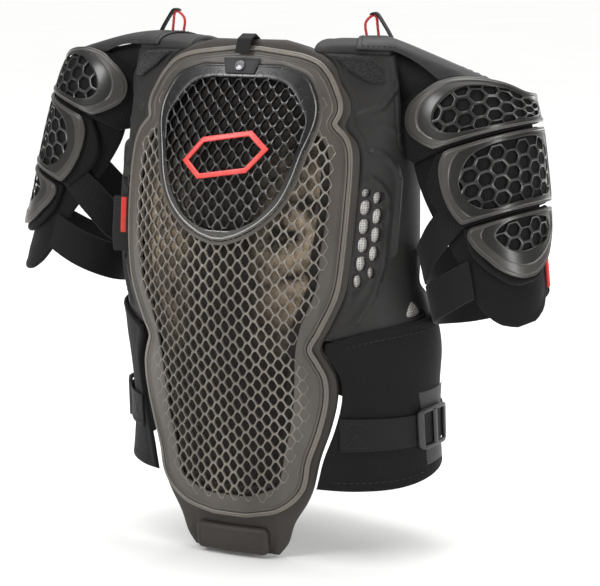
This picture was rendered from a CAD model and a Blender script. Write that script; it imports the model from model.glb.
import math

import bmesh
import bpy
import numpy as np
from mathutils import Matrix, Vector


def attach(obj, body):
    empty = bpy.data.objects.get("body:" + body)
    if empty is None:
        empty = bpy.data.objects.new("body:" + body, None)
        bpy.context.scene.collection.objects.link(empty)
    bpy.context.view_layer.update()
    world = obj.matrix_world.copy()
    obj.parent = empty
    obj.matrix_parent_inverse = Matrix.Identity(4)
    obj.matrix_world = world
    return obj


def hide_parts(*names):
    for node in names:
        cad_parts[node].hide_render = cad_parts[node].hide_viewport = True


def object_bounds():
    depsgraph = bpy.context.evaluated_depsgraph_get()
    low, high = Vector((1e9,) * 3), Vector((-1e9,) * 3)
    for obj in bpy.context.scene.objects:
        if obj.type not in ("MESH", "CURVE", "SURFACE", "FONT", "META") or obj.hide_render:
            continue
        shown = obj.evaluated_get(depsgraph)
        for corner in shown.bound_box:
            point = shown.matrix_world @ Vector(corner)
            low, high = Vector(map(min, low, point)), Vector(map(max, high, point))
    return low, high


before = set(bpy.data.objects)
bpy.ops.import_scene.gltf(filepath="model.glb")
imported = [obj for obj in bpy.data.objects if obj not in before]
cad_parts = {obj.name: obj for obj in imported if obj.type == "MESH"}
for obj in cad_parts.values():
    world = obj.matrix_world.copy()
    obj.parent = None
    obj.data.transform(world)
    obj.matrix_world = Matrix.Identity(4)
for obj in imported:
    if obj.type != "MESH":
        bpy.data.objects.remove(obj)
cad_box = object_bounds()
bpy.ops.object.select_all(action="DESELECT")

# Patterns are cut in the flat, in millimetres, and wrapped. On the body x is the distance round it
# from the middle of the back and z the height; on an arm x is the distance round it from its
# outside and z the distance up it. Lift is the distance out from the body or the arm.

MM = 0.001
BACK, FRONT = 1, -1
RIGHT, LEFT = 1, -1
SIDES = ((RIGHT, "right"), (LEFT, "left"))

# The body and arm forms, as in the CAD

BODY_HEIGHT = 550
BODY_HALF_WIDTH, BODY_DEPTH = 160, 115
HIP_FLARE = 32
# down, width, back, front
BODY_SECTIONS = [
    (-0.055, 0.93, 0.22, 0.3), (0, 0.94, 0.35, 0.42), (0.09, 0.97, 0.56, 0.68),
    (0.2, 0.99, 0.8, 0.89), (0.3, 1, 0.93, 0.97), (0.4, 1, 0.99, 1),
    (0.51, 0.975, 0.97, 0.97), (0.62, 0.94, 0.9, 0.94), (0.73, 0.925, 0.84, 0.91),
    (0.84, 0.95, 0.8, 0.91), (0.945, 0.99, 0.73, 0.91), (1.05, 1, 0.67, 0.91),
]
ARM_TOP, ARM_END = np.array((192.0, 62, -30)), np.array((256.0, 12, -290))
ARM_RADIUS = 66
LEFT_ARM_RAISE = 19
ARM_FACING = 32
ARM_SLANT = 0.2
ARM_LENGTH = float(np.linalg.norm(ARM_TOP - ARM_END))
PER_DEGREE = ARM_RADIUS * math.pi / 180
ARM_FORM = [(-0.08, 0.15), (0, 0.57), (0.055, 0.83), (0.15, 1), (0.3, 1.03), (0.48, 1),
            (0.73, 0.91), (1.06, 0.82)]

PLATE_TOP, PLATE_LENGTH, PLATE_HALF = -10, 481, 124
PLATE_BOTTOM = PLATE_TOP - PLATE_LENGTH
PLATE_OUTLINE = [
    (0, 0.12), (0.0125, 0.5), (0.033, 0.68), (0.0915, 0.83), (0.12, 0.855), (0.148, 0.83),
    (0.177, 0.935), (0.212, 0.985), (0.29, 1), (0.42, 0.98), (0.495, 0.93), (0.572, 0.79),
    (0.613, 0.71), (0.649, 0.765), (0.68, 0.81), (0.73, 0.81), (0.8, 0.75), (0.873, 0.66),
    (0.94, 0.6), (0.985, 0.4), (1, 0.15),
]
# Where the plate is open: half width of the net at a distance below the shoulder tops.
PLATE_OPENING = [
    (29, 40), (33, 60), (45, 74), (60, 82), (80, 84), (88, 88), (96, 97), (110, 104),
    (127, 107), (153, 108), (188, 106), (202, 104), (243, 99), (280, 84), (310, 77),
    (345, 74), (385, 70), (420, 62), (445, 58), (460, 51), (472, 25),
]
INSERT_TOP, INSERT_LENGTH, INSERT_HALF = -24, 173, 88
INSERT_BOTTOM = INSERT_TOP - INSERT_LENGTH
INSERT_OUTLINE = [
    (0, 0.5), (0.05, 0.79), (0.14, 0.93), (0.24, 1), (0.35, 0.99), (0.5, 0.9), (0.65, 0.82),
    (0.79, 0.69), (0.9, 0.48), (0.97, 0.25), (1, 0.07),
]
INSERT_OPENING = [
    (37, 30), (40, 46), (48, 58), (64, 70), (78, 77), (95, 75), (110, 72), (128, 67),
    (152, 57), (174, 40), (184, 22), (187, 12),
]
COLLAR_HEIGHT, COLLAR_HALF = 16, 96
COLLAR_OUTLINE = [(0, 0.42), (0.45, 0.72), (0.85, 0.9), (1.4, 1), (2.6, 1.05)]
TAIL_LENGTH, TAIL_HALF = 55, 92
TAIL_OUTLINE = [(-1, 1), (-0.45, 0.98), (-0.2, 0.9), (0.24, 0.74), (0.67, 0.65), (0.91, 0.54),
                (1, 0.3)]
SHELL_MARGIN = 16
PANEL_REACH = 252
PANEL_FRONT = [
    (0.012, 0.61), (0.098, 0.67), (0.148, 0.7), (0.19, 0.75), (0.23, 0.96), (0.273, 1),
    (0.41, 1), (0.45, 0.9), (0.475, 0.98), (0.5, 1.04), (0.55, 1.06),
]
PANEL_TOP, PANEL_BOTTOM = -0.012 * BODY_HEIGHT, -298
BELT_TOP, BELT_HEIGHT = -282, 172
# share of the way round, top, bottom
BELT_EDGES = [
    (0, 0.1, 1.04), (0.06, 0.02, 1.05), (0.14, -0.01, 1.04), (0.24, 0, 0.94), (0.36, 0.1, 0.8),
    (0.5, 0.16, 0.72), (0.64, 0.1, 0.8), (0.76, 0, 0.94), (0.86, -0.01, 1.04),
    (0.94, 0.02, 1.05), (1, 0.1, 1.04),
]
STRAP_MIDDLE, STRAP_WIDTH, BUCKLE_ARC, STRAP_END = -399, 38, 191, 268
SNAP_TOP, SNAP_HEIGHT = PLATE_TOP - 8, 16
# how far off the body each layer lies
BELT_LIFT, TAB_LIFT, STRAP_LIFT, SLIDE_LIFT = 10.85, 14.85, 15.7, 18.1
# how far off the arm: its sleeve's outside and its plates' underside
SLEEVE_LIFT, ARM_PLATE_LIFT = 4.85, 11.8
CHEST_TOP, CHEST_LENGTH, CHEST_HALF, CHEST_MARGIN = -26, 300, 150, 22
# share out from the middle, top, bottom
CHEST_EDGES = [
    (0, 0.17, 0.9), (0.2, 0.155, 0.9), (0.38, 0.1, 0.885), (0.5, 0, 0.87), (0.73, 0, 0.8),
    (0.8, 0.12, 0.77), (0.9, 0.26, 0.71), (1, 0.38, 0.6),
]
# share of the arm's length down, half width in degrees
CAP_PLATE = [(0.045, 56), (0.07, 76), (0.105, 85), (0.165, 85), (0.228, 75), (0.275, 64)]
UPPER_PLATE = [(0.294, 56), (0.34, 62), (0.425, 63), (0.515, 59), (0.58, 52)]
LOWER_PLATE = [(0.6, 46), (0.625, 49), (0.685, 44), (0.735, 36), (0.785, 27), (0.825, 15),
               (0.842, 6)]
CAP_CUSHION = [(0.03, 70), (0.055, 80), (0.09, 87), (0.15, 90), (0.22, 88), (0.285, 72)]
UPPER_CUSHION = [(0.29, 64), (0.35, 74), (0.41, 78), (0.47, 75), (0.59, 58)]
LOWER_CUSHION = [(0.595, 52), (0.69, 49), (0.75, 41), (0.8, 31), (0.85, 18), (0.865, 8)]
SLEEVE = [(0.16, 84), (0.22, 92), (0.3, 94), (0.4, 90), (0.5, 83), (0.6, 74), (0.72, 63),
          (0.83, 56), (0.915, 47), (0.965, 37), (0.998, 26), (1.018, 12)]
# degrees round the arm, share of its length down
UPPER_STRAP = [(50, 0.55), (66, 0.6), (82, 0.645), (108, 0.71), (135, 0.725), (180, 0.72),
               (235, 0.66), (278, 0.56)]
LOWER_STRAP = [(52, 0.825), (85, 0.862), (123, 0.88), (165, 0.88), (205, 0.88), (262, 0.86),
               (306, 0.82)]


def smooth(rows, at, column=1):
    """A column of a table at places in its first column, as one smooth curve."""
    rows = np.asarray(rows, float)
    x, y = rows[:, 0], rows[:, column]
    at = np.clip(np.asarray(at, float), x[0], x[-1])
    i = np.clip(np.searchsorted(x, at) - 1, 0, len(x) - 2)
    span = x[i + 1] - x[i]
    t = (at - x[i]) / span
    low, high = np.maximum(i - 1, 0), np.minimum(i + 2, len(x) - 1)
    start = (y[i + 1] - y[low]) / (x[i + 1] - x[low]) * span
    end = (y[high] - y[i]) / (x[high] - x[i]) * span
    return ((2 * t**3 - 3 * t**2 + 1) * y[i] + (t**3 - 2 * t**2 + t) * start
            + (3 * t**2 - 2 * t**3) * y[i + 1] + (t**3 - t**2) * end)


def straight(rows, at, column=1):
    """The same in straight lines."""
    rows = np.asarray(rows, float)
    return np.interp(at, rows[:, 0], rows[:, column])


def floats(*values):
    """The values as arrays of one shape."""
    return np.broadcast_arrays(*(np.asarray(value, float) for value in values))


def section(z):
    """The body at a height: half its width, half its depth and where its middle lies."""
    down = -z / BODY_HEIGHT
    back = smooth(BODY_SECTIONS, down, 2) * BODY_DEPTH
    front = smooth(BODY_SECTIONS, down, 3) * BODY_DEPTH
    return smooth(BODY_SECTIONS, down, 1) * BODY_HALF_WIDTH, (front + back) / 2, (front - back) / 2


LEVEL_STEP = 2.0
LEVELS = np.arange(-604, 44, LEVEL_STEP)
ARCS = np.arange(0, 520, 1.0)


def angles_by_level():
    """For each level, the angle that each arc reaches, and the girth."""
    turns = np.linspace(0, 2 * math.pi, 721)
    middle = (turns[1:] + turns[:-1]) / 2
    angles, girths = [], []
    for z in LEVELS:
        width, depth, _ = section(z)
        step = np.hypot(width * np.cos(middle), depth * np.sin(middle)) * turns[1]
        walked = np.concatenate([[0], np.cumsum(step)])
        angles.append(np.interp(ARCS, walked, turns))
        girths.append(walked[-1])
    return np.array(angles), np.array(girths)


ANGLES, GIRTHS = angles_by_level()


def girth(z):
    return np.interp(z, LEVELS, GIRTHS)


def angle_at(arc, z):
    """The angle round the body's section that an arc reaches."""
    row = np.clip((z - LEVELS[0]) / LEVEL_STEP, 0, len(LEVELS) - 1.001)
    column = np.clip(np.abs(arc), 0, len(ARCS) - 1.001)
    i, j = row.astype(int), column.astype(int)
    a, b = row - i, column - j
    angle = ((ANGLES[i, j] * (1 - b) + ANGLES[i, j + 1] * b) * (1 - a)
             + (ANGLES[i + 1, j] * (1 - b) + ANGLES[i + 1, j + 1] * b) * a)
    return np.sign(arc) * angle


def hip_flare(angle, z):
    """How far the hips stand out, most at the sides and low down."""
    off = np.clip((angle - math.pi / 2) / 1.15, -1, 1)
    rise = np.clip((-z / BODY_HEIGHT - 0.39) / 0.21, 0, 1)
    return HIP_FLARE * np.cos(off * math.pi / 2) ** 2 * rise * rise * (3 - 2 * rise)


def on_body(x, z, lift, facing=BACK):
    """Points of the body in metres, from their places in the pattern."""
    x, z, lift = floats(x, z, lift)
    angle = angle_at(x, z)
    width, depth, middle = section(z)
    width_up, depth_up, middle_up = section(z + 1)
    sine, cosine = np.sin(angle), np.cos(angle)
    along = np.stack([width * cosine, facing * depth * sine, 0 * z], -1)
    up = np.stack([(width_up - width) * sine,
                   middle_up - middle - facing * (depth_up - depth) * cosine, 0 * z + 1], -1)
    out = np.cross(along, up)
    out *= facing / np.linalg.norm(out, axis=-1, keepdims=True)
    place = np.stack([width * sine, middle - facing * depth * cosine, z], -1)
    from_back = angle if facing == BACK else math.pi - angle
    return (place + out * (lift + hip_flare(from_back, z))[..., None]) * MM


def on_chest(x, z, lift):
    return on_body(x, z, lift, FRONT)


def on_side(side):
    """The body's pattern on one side, with x measured outwards."""
    return lambda x, z, lift: on_body(side * np.asarray(x), z, lift)


def round_body(x, z, lift):
    """The body's pattern for an arc that may run past the middle of the chest."""
    x, z = floats(x, z)
    around = girth(z)
    return on_body(np.where(x > around / 2, x - around, x), z, lift)


def unit(v):
    return v / np.linalg.norm(v)


ARM_DOWN = unit(ARM_END - ARM_TOP)
ARM_OUT = np.array((math.cos(math.radians(ARM_FACING)), -math.sin(math.radians(ARM_FACING)), 0))
ARM_OUT = unit(ARM_OUT - ARM_DOWN * ARM_OUT.dot(ARM_DOWN))
ARM_BACK = np.cross(ARM_DOWN, ARM_OUT)


def at_arm(side, turn, down, lift):
    """Points of an arm in metres, from degrees round it and millimetres down it."""
    turn, down, lift = floats(turn, down, lift)
    radius = smooth(ARM_FORM, down / ARM_LENGTH) * ARM_RADIUS
    slope = (smooth(ARM_FORM, (down + 1) / ARM_LENGTH)
             - smooth(ARM_FORM, (down - 1) / ARM_LENGTH)) * ARM_RADIUS / 2
    across = lift / np.hypot(1, slope)
    angle = np.radians(turn)
    point = (ARM_TOP + (down - across * slope)[..., None] * ARM_DOWN
             + (np.cos(angle) * (radius + across))[..., None] * ARM_OUT
             + (np.sin(angle) * (radius + across))[..., None] * ARM_BACK)
    point = point * (side, 1, 1)
    if side == LEFT:
        point = point + (0, 0, LEFT_ARM_RAISE)
    return point * MM


def on_arm(side):
    """The arm's pattern, whose level lines slant down towards the back."""
    return lambda x, z, lift: at_arm(side, x / PER_DEGREE, -z + ARM_SLANT * x / PER_DEGREE, lift)


# The cap's top edge drops to the front: degrees round the arm, share of its height that is left.
CAP_DROP = [(-95, 0.42), (-40, 0.45), (-20, 0.5), (0, 0.68), (20, 0.84), (40, 0.96), (60, 1),
            (120, 1)]
CAP_FOOT = -0.275 * ARM_LENGTH
CAP_PAD_BEHIND = 1.22  # the cap's cushion reaches further back than its table, and shows there


def on_cap(side):
    """The arm's pattern with the cap's top edge lowered towards the front."""
    def place(x, z, lift):
        left = smooth(CAP_DROP, x / PER_DEGREE)
        return on_arm(side)(x, CAP_FOOT + (z - CAP_FOOT) * left, lift)

    return place


# Colours and finishes


def linear(colour):
    """sRGB hex to linear RGBA."""
    parts = [int(colour[i:i + 2], 16) / 255 for i in (0, 2, 4)]
    return [c / 12.92 if c <= 0.04045 else ((c + 0.055) / 1.055) ** 2.4 for c in parts] + [1]


def add(tree, kind, sockets=(), **settings):
    """Adds a node with its settings; sockets is {name or number: value or output}."""
    made = tree.nodes.new(kind)
    for name, value in settings.items():
        setattr(made, name, value)
    for key, value in dict(sockets).items():
        if isinstance(value, bpy.types.NodeSocket):
            tree.links.new(value, made.inputs[key])
        else:
            made.inputs[key].default_value = value
    return made


def finish(name, colour, roughness, **constants):
    """A material with its even values set on the shader."""
    material = bpy.data.materials.new(name)
    material.use_nodes = True
    tree = material.node_tree
    shader = tree.nodes["Principled BSDF"]
    shader.inputs["Base Color"].default_value = linear(colour)
    shader.inputs["Roughness"].default_value = roughness
    for key, value in constants.items():
        shader.inputs[key.replace("_", " ")].default_value = value
    material.diffuse_color = linear(colour)
    return material, tree, shader


def tone(tree, shader, mask, dark, light, low=0.0, high=1.0):
    """Links a colour that runs from dark to light as the mask goes from low to high."""
    ramp = add(tree, "ShaderNodeMapRange", {"Value": mask, "From Min": low, "From Max": high})
    mix = add(tree, "ShaderNodeMix", {0: ramp.outputs[0], 6: linear(dark), 7: linear(light)},
              data_type="RGBA")
    tree.links.new(mix.outputs[2], shader.inputs["Base Color"])


def relief(tree, shader, height, depth, strength=1.0):
    """Links a bump that is depth metres high where the height is 1."""
    bump = add(tree, "ShaderNodeBump", {"Height": height, "Distance": depth, "Strength": strength})
    tree.links.new(bump.outputs[0], shader.inputs["Normal"])


def grip(tree, shader, mask, low, high):
    """Links a roughness that runs from low to high with the mask."""
    ramp = add(tree, "ShaderNodeMapRange", {"Value": mask, "To Min": low, "To Max": high})
    tree.links.new(ramp.outputs[0], shader.inputs["Roughness"])


def noise(tree, place, size, detail=2.0):
    """Noise whose blotches are about size metres across."""
    sockets = {"Vector": place, "Scale": 1 / size, "Detail": detail}
    return add(tree, "ShaderNodeTexNoise", sockets).outputs[0]


def cells(tree, place, size, unevenness):
    """Distance from the middle of the nearest cell, for cells about size metres apart."""
    sockets = {"Vector": place, "Scale": 1 / size, "Randomness": unevenness}
    return add(tree, "ShaderNodeTexVoronoi", sockets).outputs["Distance"]


WAVE_REPEAT = 0.314  # a wave of scale 1 repeats every 0.314 m


def object_place(tree):
    """Places in the object, for finishes that run through the whole piece."""
    return add(tree, "ShaderNodeTexCoord").outputs["Object"]


def pattern_place(tree):
    """Places in the piece's flat pattern, in metres, for cloth."""
    return add(tree, "ShaderNodeUVMap", uv_map="pattern").outputs[0]


def moulded_foam(name, dark, light):
    """EVA foam, pressed hot in a mould: a dull closed skin with soft sheen and faint clouding."""
    material, tree, shader = finish(name, light, 0.62, IOR=1.45, Sheen_Weight=0.05, Sheen_Roughness=0.5)
    place = object_place(tree)
    tone(tree, shader, noise(tree, place, 0.06, 4), dark, light, 0.3, 0.7)
    skin = noise(tree, place, 0.0022, 3)  # skin grain is 0.5 mm; drawn at 2.2 mm so that it shows
    grip(tree, shader, skin, 0.5, 0.72)
    relief(tree, shader, skin, 0.00025, 0.6)
    return material


def smoked_shell(name, dark, light, smooth_low, smooth_high, coat):
    """Polypropylene, injection moulded in a spark-eroded tool: satin, with slow streaks of flow."""
    material, tree, shader = finish(name, light, 0.4, IOR=1.49, Coat_Weight=coat, Coat_Roughness=0.25)
    place = object_place(tree)
    stretched = add(tree, "ShaderNodeMapping", {"Vector": place, "Scale": (1, 1, 0.35)}).outputs[0]
    tone(tree, shader, noise(tree, stretched, 0.045, 3), dark, light, 0.32, 0.68)
    grain = noise(tree, place, 0.0016, 2)  # 0.3 mm spark texture, drawn coarser to show
    grip(tree, shader, grain, smooth_low, smooth_high)
    relief(tree, shader, grain, 0.00012, 0.5)
    return material


def black_abs():
    """ABS, injection moulded in a polished tool: deep gloss above, greyer towards its low rim,
    where it mirrors the pale floor."""
    material, tree, shader = finish("gloss_abs", "1d1d1e", 0.25, IOR=1.54, Coat_Weight=0.25,
                                    Coat_Roughness=0.12)
    place = object_place(tree)
    height = add(tree, "ShaderNodeSeparateXYZ", {0: place}).outputs[2]
    tone(tree, shader, height, "4e4d4a", "131314", -0.19, -0.1)
    scuffs = noise(tree, place, 0.012, 5)
    grip(tree, shader, scuffs, 0.2, 0.36)
    relief(tree, shader, scuffs, 0.0001, 0.3)
    return material


def knit(name, dark, light, size, rough=0.85, sheen=0.06):
    """Neoprene faced with nylon jersey: matt and black, its fine ribs catching a little light."""
    # the pile traps most of what would shine
    material, tree, shader = finish(name, light, rough, IOR=1.5, Sheen_Weight=sheen,
                                    Sheen_Roughness=0.4, Specular_IOR_Level=0.25)
    place = pattern_place(tree)
    # ribs are 0.6 mm apart on the cloth; drawn about four times as wide so that they show
    ribs = add(tree, "ShaderNodeTexWave", {"Vector": place, "Scale": WAVE_REPEAT / size,
                                           "Distortion": 1.2, "Detail": 1.0,
                                           "Detail Scale": 2.0}).outputs["Fac"]
    worn = noise(tree, place, 0.03, 4)
    both = add(tree, "ShaderNodeMath", {0: ribs, 1: worn}, operation="MULTIPLY").outputs[0]
    tone(tree, shader, both, dark, light, 0.05, 0.6)
    relief(tree, shader, ribs, 0.0003, 0.5)
    return material


def webbing(name, dark, light):
    """Polyester webbing, woven in a plain weave: rows of small ribs with a dull shine."""
    material, tree, shader = finish(name, light, 0.7, IOR=1.5, Sheen_Weight=0.06, Sheen_Roughness=0.35,
                                    Specular_IOR_Level=0.3)
    place = pattern_place(tree)
    # threads are 1.1 and 1.3 mm apart; drawn twice as wide so that they show
    picks = add(tree, "ShaderNodeTexWave", {"Vector": place, "Scale": WAVE_REPEAT / 0.0022},
                bands_direction="X").outputs["Fac"]
    ends = add(tree, "ShaderNodeTexWave", {"Vector": place, "Scale": WAVE_REPEAT / 0.0026},
               bands_direction="Y").outputs["Fac"]
    weave = add(tree, "ShaderNodeMath", {0: picks, 1: ends}, operation="MULTIPLY").outputs[0]
    tone(tree, shader, weave, dark, light)
    relief(tree, shader, weave, 0.0004, 0.6)
    return material


def air_mesh(name, hole, thread, size):
    """Polyester spacer mesh, warp knitted: threads round small darker holes, size metres apart."""
    material, tree, shader = finish(name, thread, 0.8, IOR=1.5, Sheen_Weight=0.2,
                                    Sheen_Roughness=0.4)
    threads = cells(tree, pattern_place(tree), size, 0.2)
    tone(tree, shader, threads, hole, thread, 0.12, 0.42)
    relief(tree, shader, threads, 0.0005, 0.8)
    return material


def lining_mesh():
    """Spacer mesh behind the plate: brown-black, with warm light coming through it at the sides
    of the back, where the garment is only mesh."""
    material, tree, shader = finish("lining_mesh", "3a332d", 0.85, IOR=1.5)
    place = object_place(tree)
    parts = add(tree, "ShaderNodeSeparateXYZ", {0: place})
    # distance from the middle of the back, in shares of 90 mm
    aside = add(tree, "ShaderNodeMath", {0: parts.outputs[0], 1: 0.09}, operation="DIVIDE").outputs[0]
    aside = add(tree, "ShaderNodeMath", {0: aside}, operation="ABSOLUTE").outputs[0]
    side = add(tree, "ShaderNodeMapRange", {"Value": aside, "From Min": 0.35,
                                            "From Max": 0.85}).outputs[0]
    # brightest at the height of the lower ribs, 0.2 m below the shoulder tops
    off = add(tree, "ShaderNodeMath", {0: parts.outputs[2], 1: 0.205}, operation="ADD").outputs[0]
    off = add(tree, "ShaderNodeMath", {0: off}, operation="ABSOLUTE").outputs[0]
    level = add(tree, "ShaderNodeMapRange", {"Value": off, "From Min": 0.12,
                                             "From Max": 0.03}).outputs[0]
    cloud = add(tree, "ShaderNodeMapRange", {"Value": noise(tree, place, 0.02, 3), "From Min": 0.35,
                                             "From Max": 0.62}).outputs[0]
    glow = add(tree, "ShaderNodeMath", {0: side, 1: level}, operation="MULTIPLY").outputs[0]
    glow = add(tree, "ShaderNodeMath", {0: glow, 1: cloud}, operation="MULTIPLY").outputs[0]
    tone(tree, shader, glow, "241f1c", "b9a78f")
    # its holes are 2.4 mm apart
    relief(tree, shader, cells(tree, pattern_place(tree), 0.0024, 0.2), 0.0006, 0.8)
    return material


def hook_tape():
    """Nylon hook tape: a black pile of tiny stiff hooks that swallows the light."""
    material, tree, shader = finish("hook_tape", "161616", 0.95, IOR=1.53, Sheen_Weight=0.1)
    # hooks stand 1.2 mm apart; drawn at 1.8 mm so that they show
    hooks = cells(tree, pattern_place(tree), 0.0018, 0.7)
    tone(tree, shader, hooks, "2c2b2b", "0c0c0c", 0.1, 0.6)
    relief(tree, shader, hooks, 0.0012, 1.0)
    return material


def plain_moulding(name, dark, light, low, high, **constants):
    """A small moulded part: even colour, faint mottle and fine handling marks."""
    material, tree, shader = finish(name, light, (low + high) / 2, **constants)
    place = object_place(tree)
    mottle = noise(tree, place, 0.008, 4)
    tone(tree, shader, mottle, dark, light, 0.3, 0.7)
    grip(tree, shader, mottle, low, high)
    relief(tree, shader, noise(tree, place, 0.0014, 2), 0.0001, 0.5)
    return material


def braided_cord():
    """Nylon cord, braided: slanting strands with bright crests."""
    material, tree, shader = finish("braided_cord", "d8322f", 0.55, IOR=1.53, Sheen_Weight=0.2)
    # strands are 1 mm apart; drawn at 2.4 mm so that they show
    strands = add(tree, "ShaderNodeTexWave", {"Vector": object_place(tree),
                                              "Scale": WAVE_REPEAT / 0.0024},
                  bands_direction="DIAGONAL").outputs["Fac"]
    tone(tree, shader, strands, "a3201f", "e5403c")
    relief(tree, shader, strands, 0.0004, 0.8)
    return material


def pale_floor():
    """Painted studio floor: white emulsion, rolled on, without shine."""
    material, tree, shader = finish("pale_floor", "f4f4f3", 0.9, IOR=1.45)
    tone(tree, shader, noise(tree, object_place(tree), 0.4, 2), "f1f1f0", "f6f6f5")
    return material


SHELL_FOAM = moulded_foam("moulded_eva_brown", "292521", "35302b")
SIDE_FOAM = moulded_foam("moulded_eva_black", "100e0d", "181615")
SMOKED = smoked_shell("smoked_polypropylene", "3d3833", "4f4943", 0.32, 0.46, 0.15)
SMOKED_BARS = smoked_shell("smoked_bars", "5f5952", "7c756c", 0.3, 0.42, 0.25)
RIM_PLASTIC = smoked_shell("smoked_rim", "5b554e", "706961", 0.32, 0.44, 0.15)
ARM_PLASTIC = smoked_shell("arm_polypropylene", "33312e", "45423e", 0.26, 0.38, 0.25)
ARM_NET = smoked_shell("arm_net_polypropylene", "161514", "242321", 0.24, 0.36, 0.3)
GLOSS_BLACK = black_abs()
NEOPRENE = knit("neoprene_jersey", "0a0a0b", "111112", 0.0024)
PADDING = knit("padded_jersey", "0b0b0c", "141415", 0.003)
ELASTIC = knit("woven_elastic", "0b0b0c", "171718", 0.0034, 0.8, 0.12)
WEBBING = webbing("polyester_webbing", "060607", "0d0d0e")
PALE_MESH = air_mesh("pale_air_mesh", "6f6b67", "e0ddd8", 0.0026)
GREY_MESH = air_mesh("grey_air_mesh", "111111", "38383a", 0.0026)
LINING = lining_mesh()
HOOK_TAPE = hook_tape()
RUBBER_CLOTH = plain_moulding("rubberised_cloth", "1a1a1b", "242425", 0.5, 0.66, IOR=1.5)
ACETAL = plain_moulding("acetal_moulding", "1c1c1d", "2b2b2d", 0.3, 0.45, IOR=1.48)
RED_RUBBER = plain_moulding("red_rubber", "d2302e", "e8403b", 0.4, 0.55, IOR=1.5)
RED_BADGE = plain_moulding("red_tpu", "d03a35", "e04c46", 0.32, 0.45, IOR=1.5, Coat_Weight=0.1)
GUNMETAL = plain_moulding("gunmetal_snap", "59595b", "8b8b8e", 0.24, 0.38, Metallic=0.9)
CORD = braided_cord()
THREAD = plain_moulding("polyester_thread", "151516", "242425", 0.55, 0.7, IOR=1.5)
LABEL = webbing("satin_label", "1d1d1e", "2e2e2f")

# Making pieces


def volume(verts, faces):
    """Six times a closed form's volume, below 0 where its faces point inward."""
    total = 0.0
    for size in sorted({len(f) for f in faces}):
        ids = np.array([f for f in faces if len(f) == size])
        for k in range(1, size - 1):
            a, b, c = verts[ids[:, 0]], verts[ids[:, k]], verts[ids[:, k + 1]]
            total += float((a * np.cross(b, c)).sum())
    return total


def facing_out(part):
    """The same part with its faces outward. A part is (points, faces, pattern places or None)."""
    verts, faces, pattern = part
    if volume(verts - verts.mean(0), faces) < 0:
        faces = [tuple(reversed(f)) for f in faces]
    return verts, faces, pattern


def joined(parts):
    """One part from many, each with its faces outward."""
    points, faces, pattern, start = [], [], [], 0
    for verts, some, flat in map(facing_out, parts):
        points.append(verts)
        faces += [tuple(int(i) + start for i in f) for f in some]
        pattern.append(flat if flat is not None else verts[:, [0, 2]] / MM)
        start += len(verts)
    return np.vstack(points), faces, np.vstack(pattern)


def piece(name, parts, material, slot, *nodes, smooth_to=50):
    """Makes one finished piece from its parts and hands it to the frame."""
    verts, faces, pattern = joined(parts)
    mesh = bpy.data.meshes.new(name)
    mesh.from_pydata(verts.tolist(), [], faces)
    mesh.update()
    layer = mesh.uv_layers.new(name="pattern")
    corners = np.zeros(len(mesh.loops), int)
    mesh.loops.foreach_get("vertex_index", corners)
    layer.data.foreach_set("uv", (pattern[corners] * MM).astype(np.float32).ravel())
    obj = bpy.data.objects.new(name, mesh)
    bpy.context.scene.collection.objects.link(obj)
    mesh.materials.append(material)
    smoothed(obj, smooth_to)
    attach(obj, "root")
    if nodes:
        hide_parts(*nodes)
    return obj


def smoothed(obj, degrees):
    """Shades a piece smooth, apart from the edges that turn more than this."""
    bpy.ops.object.select_all(action="DESELECT")
    obj.select_set(True)
    bpy.context.view_layer.objects.active = obj
    bpy.ops.object.shade_smooth_by_angle(angle=math.radians(degrees))
    obj.select_set(False)


def even_steps(points, step, closed=True):
    """The same line with its points about `step` apart."""
    points = np.asarray(points, float)
    if closed:
        points = np.vstack([points, points[:1]])
    run = np.concatenate([[0], np.cumsum(np.linalg.norm(np.diff(points, axis=0), axis=1))])
    count = max(int(round(run[-1] / step)), 3)
    at = np.linspace(0, run[-1], count, endpoint=not closed)
    return np.column_stack([np.interp(at, run, points[:, k]) for k in range(points.shape[1])])


def curved(points, step, closed=True):
    """A smooth line through hand-set points."""
    points = np.asarray(points, float)
    count = len(points)
    fine = []
    for i in range(count if closed else count - 1):
        p = [points[(i + k) % count] if closed else points[min(max(i + k, 0), count - 1)]
             for k in (-1, 0, 1, 2)]
        for t in np.linspace(0, 1, 12, endpoint=False):
            fine.append(0.5 * (2 * p[1] + (p[2] - p[0]) * t
                               + (2 * p[0] - 5 * p[1] + 4 * p[2] - p[3]) * t**2
                               + (3 * p[1] - p[0] - 3 * p[2] + p[3]) * t**3))
    if not closed:
        fine.append(points[-1])
    return even_steps(fine, step, closed)


def even_outline(half, top, bottom, step):
    """A mirrored outline from its half width, clockwise from the middle of its top."""
    share = (1 - np.cos(np.linspace(0, math.pi, 500))) / 2
    z = top + (bottom - top) * share
    right = np.column_stack([half(z), z])
    return even_steps(np.vstack([[[0, top]], right, [[0, bottom]], right[::-1] * (-1, 1)]), step)


def shifted(outline, inward):
    """A clockwise outline moved inward, or outward where the distance is negative."""
    along = np.roll(outline, -2, 0) - np.roll(outline, 2, 0)
    along /= np.linalg.norm(along, axis=1, keepdims=True)
    return outline + np.column_stack([along[:, 1], -along[:, 0]]) * inward


def distance_to(points, line, closed=True):
    """Distance of each point from a line."""
    ends = np.roll(line, -1, 0) if closed else line[1:]
    starts = line if closed else line[:-1]
    best = np.full(len(points), 1e9)
    for a, b in zip(starts, ends):
        d = b - a
        share = np.clip(((points - a) @ d) / max(float(d @ d), 1e-9), 0, 1)
        best = np.minimum(best, np.linalg.norm(points - a - share[:, None] * d, axis=1))
    return best


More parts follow.
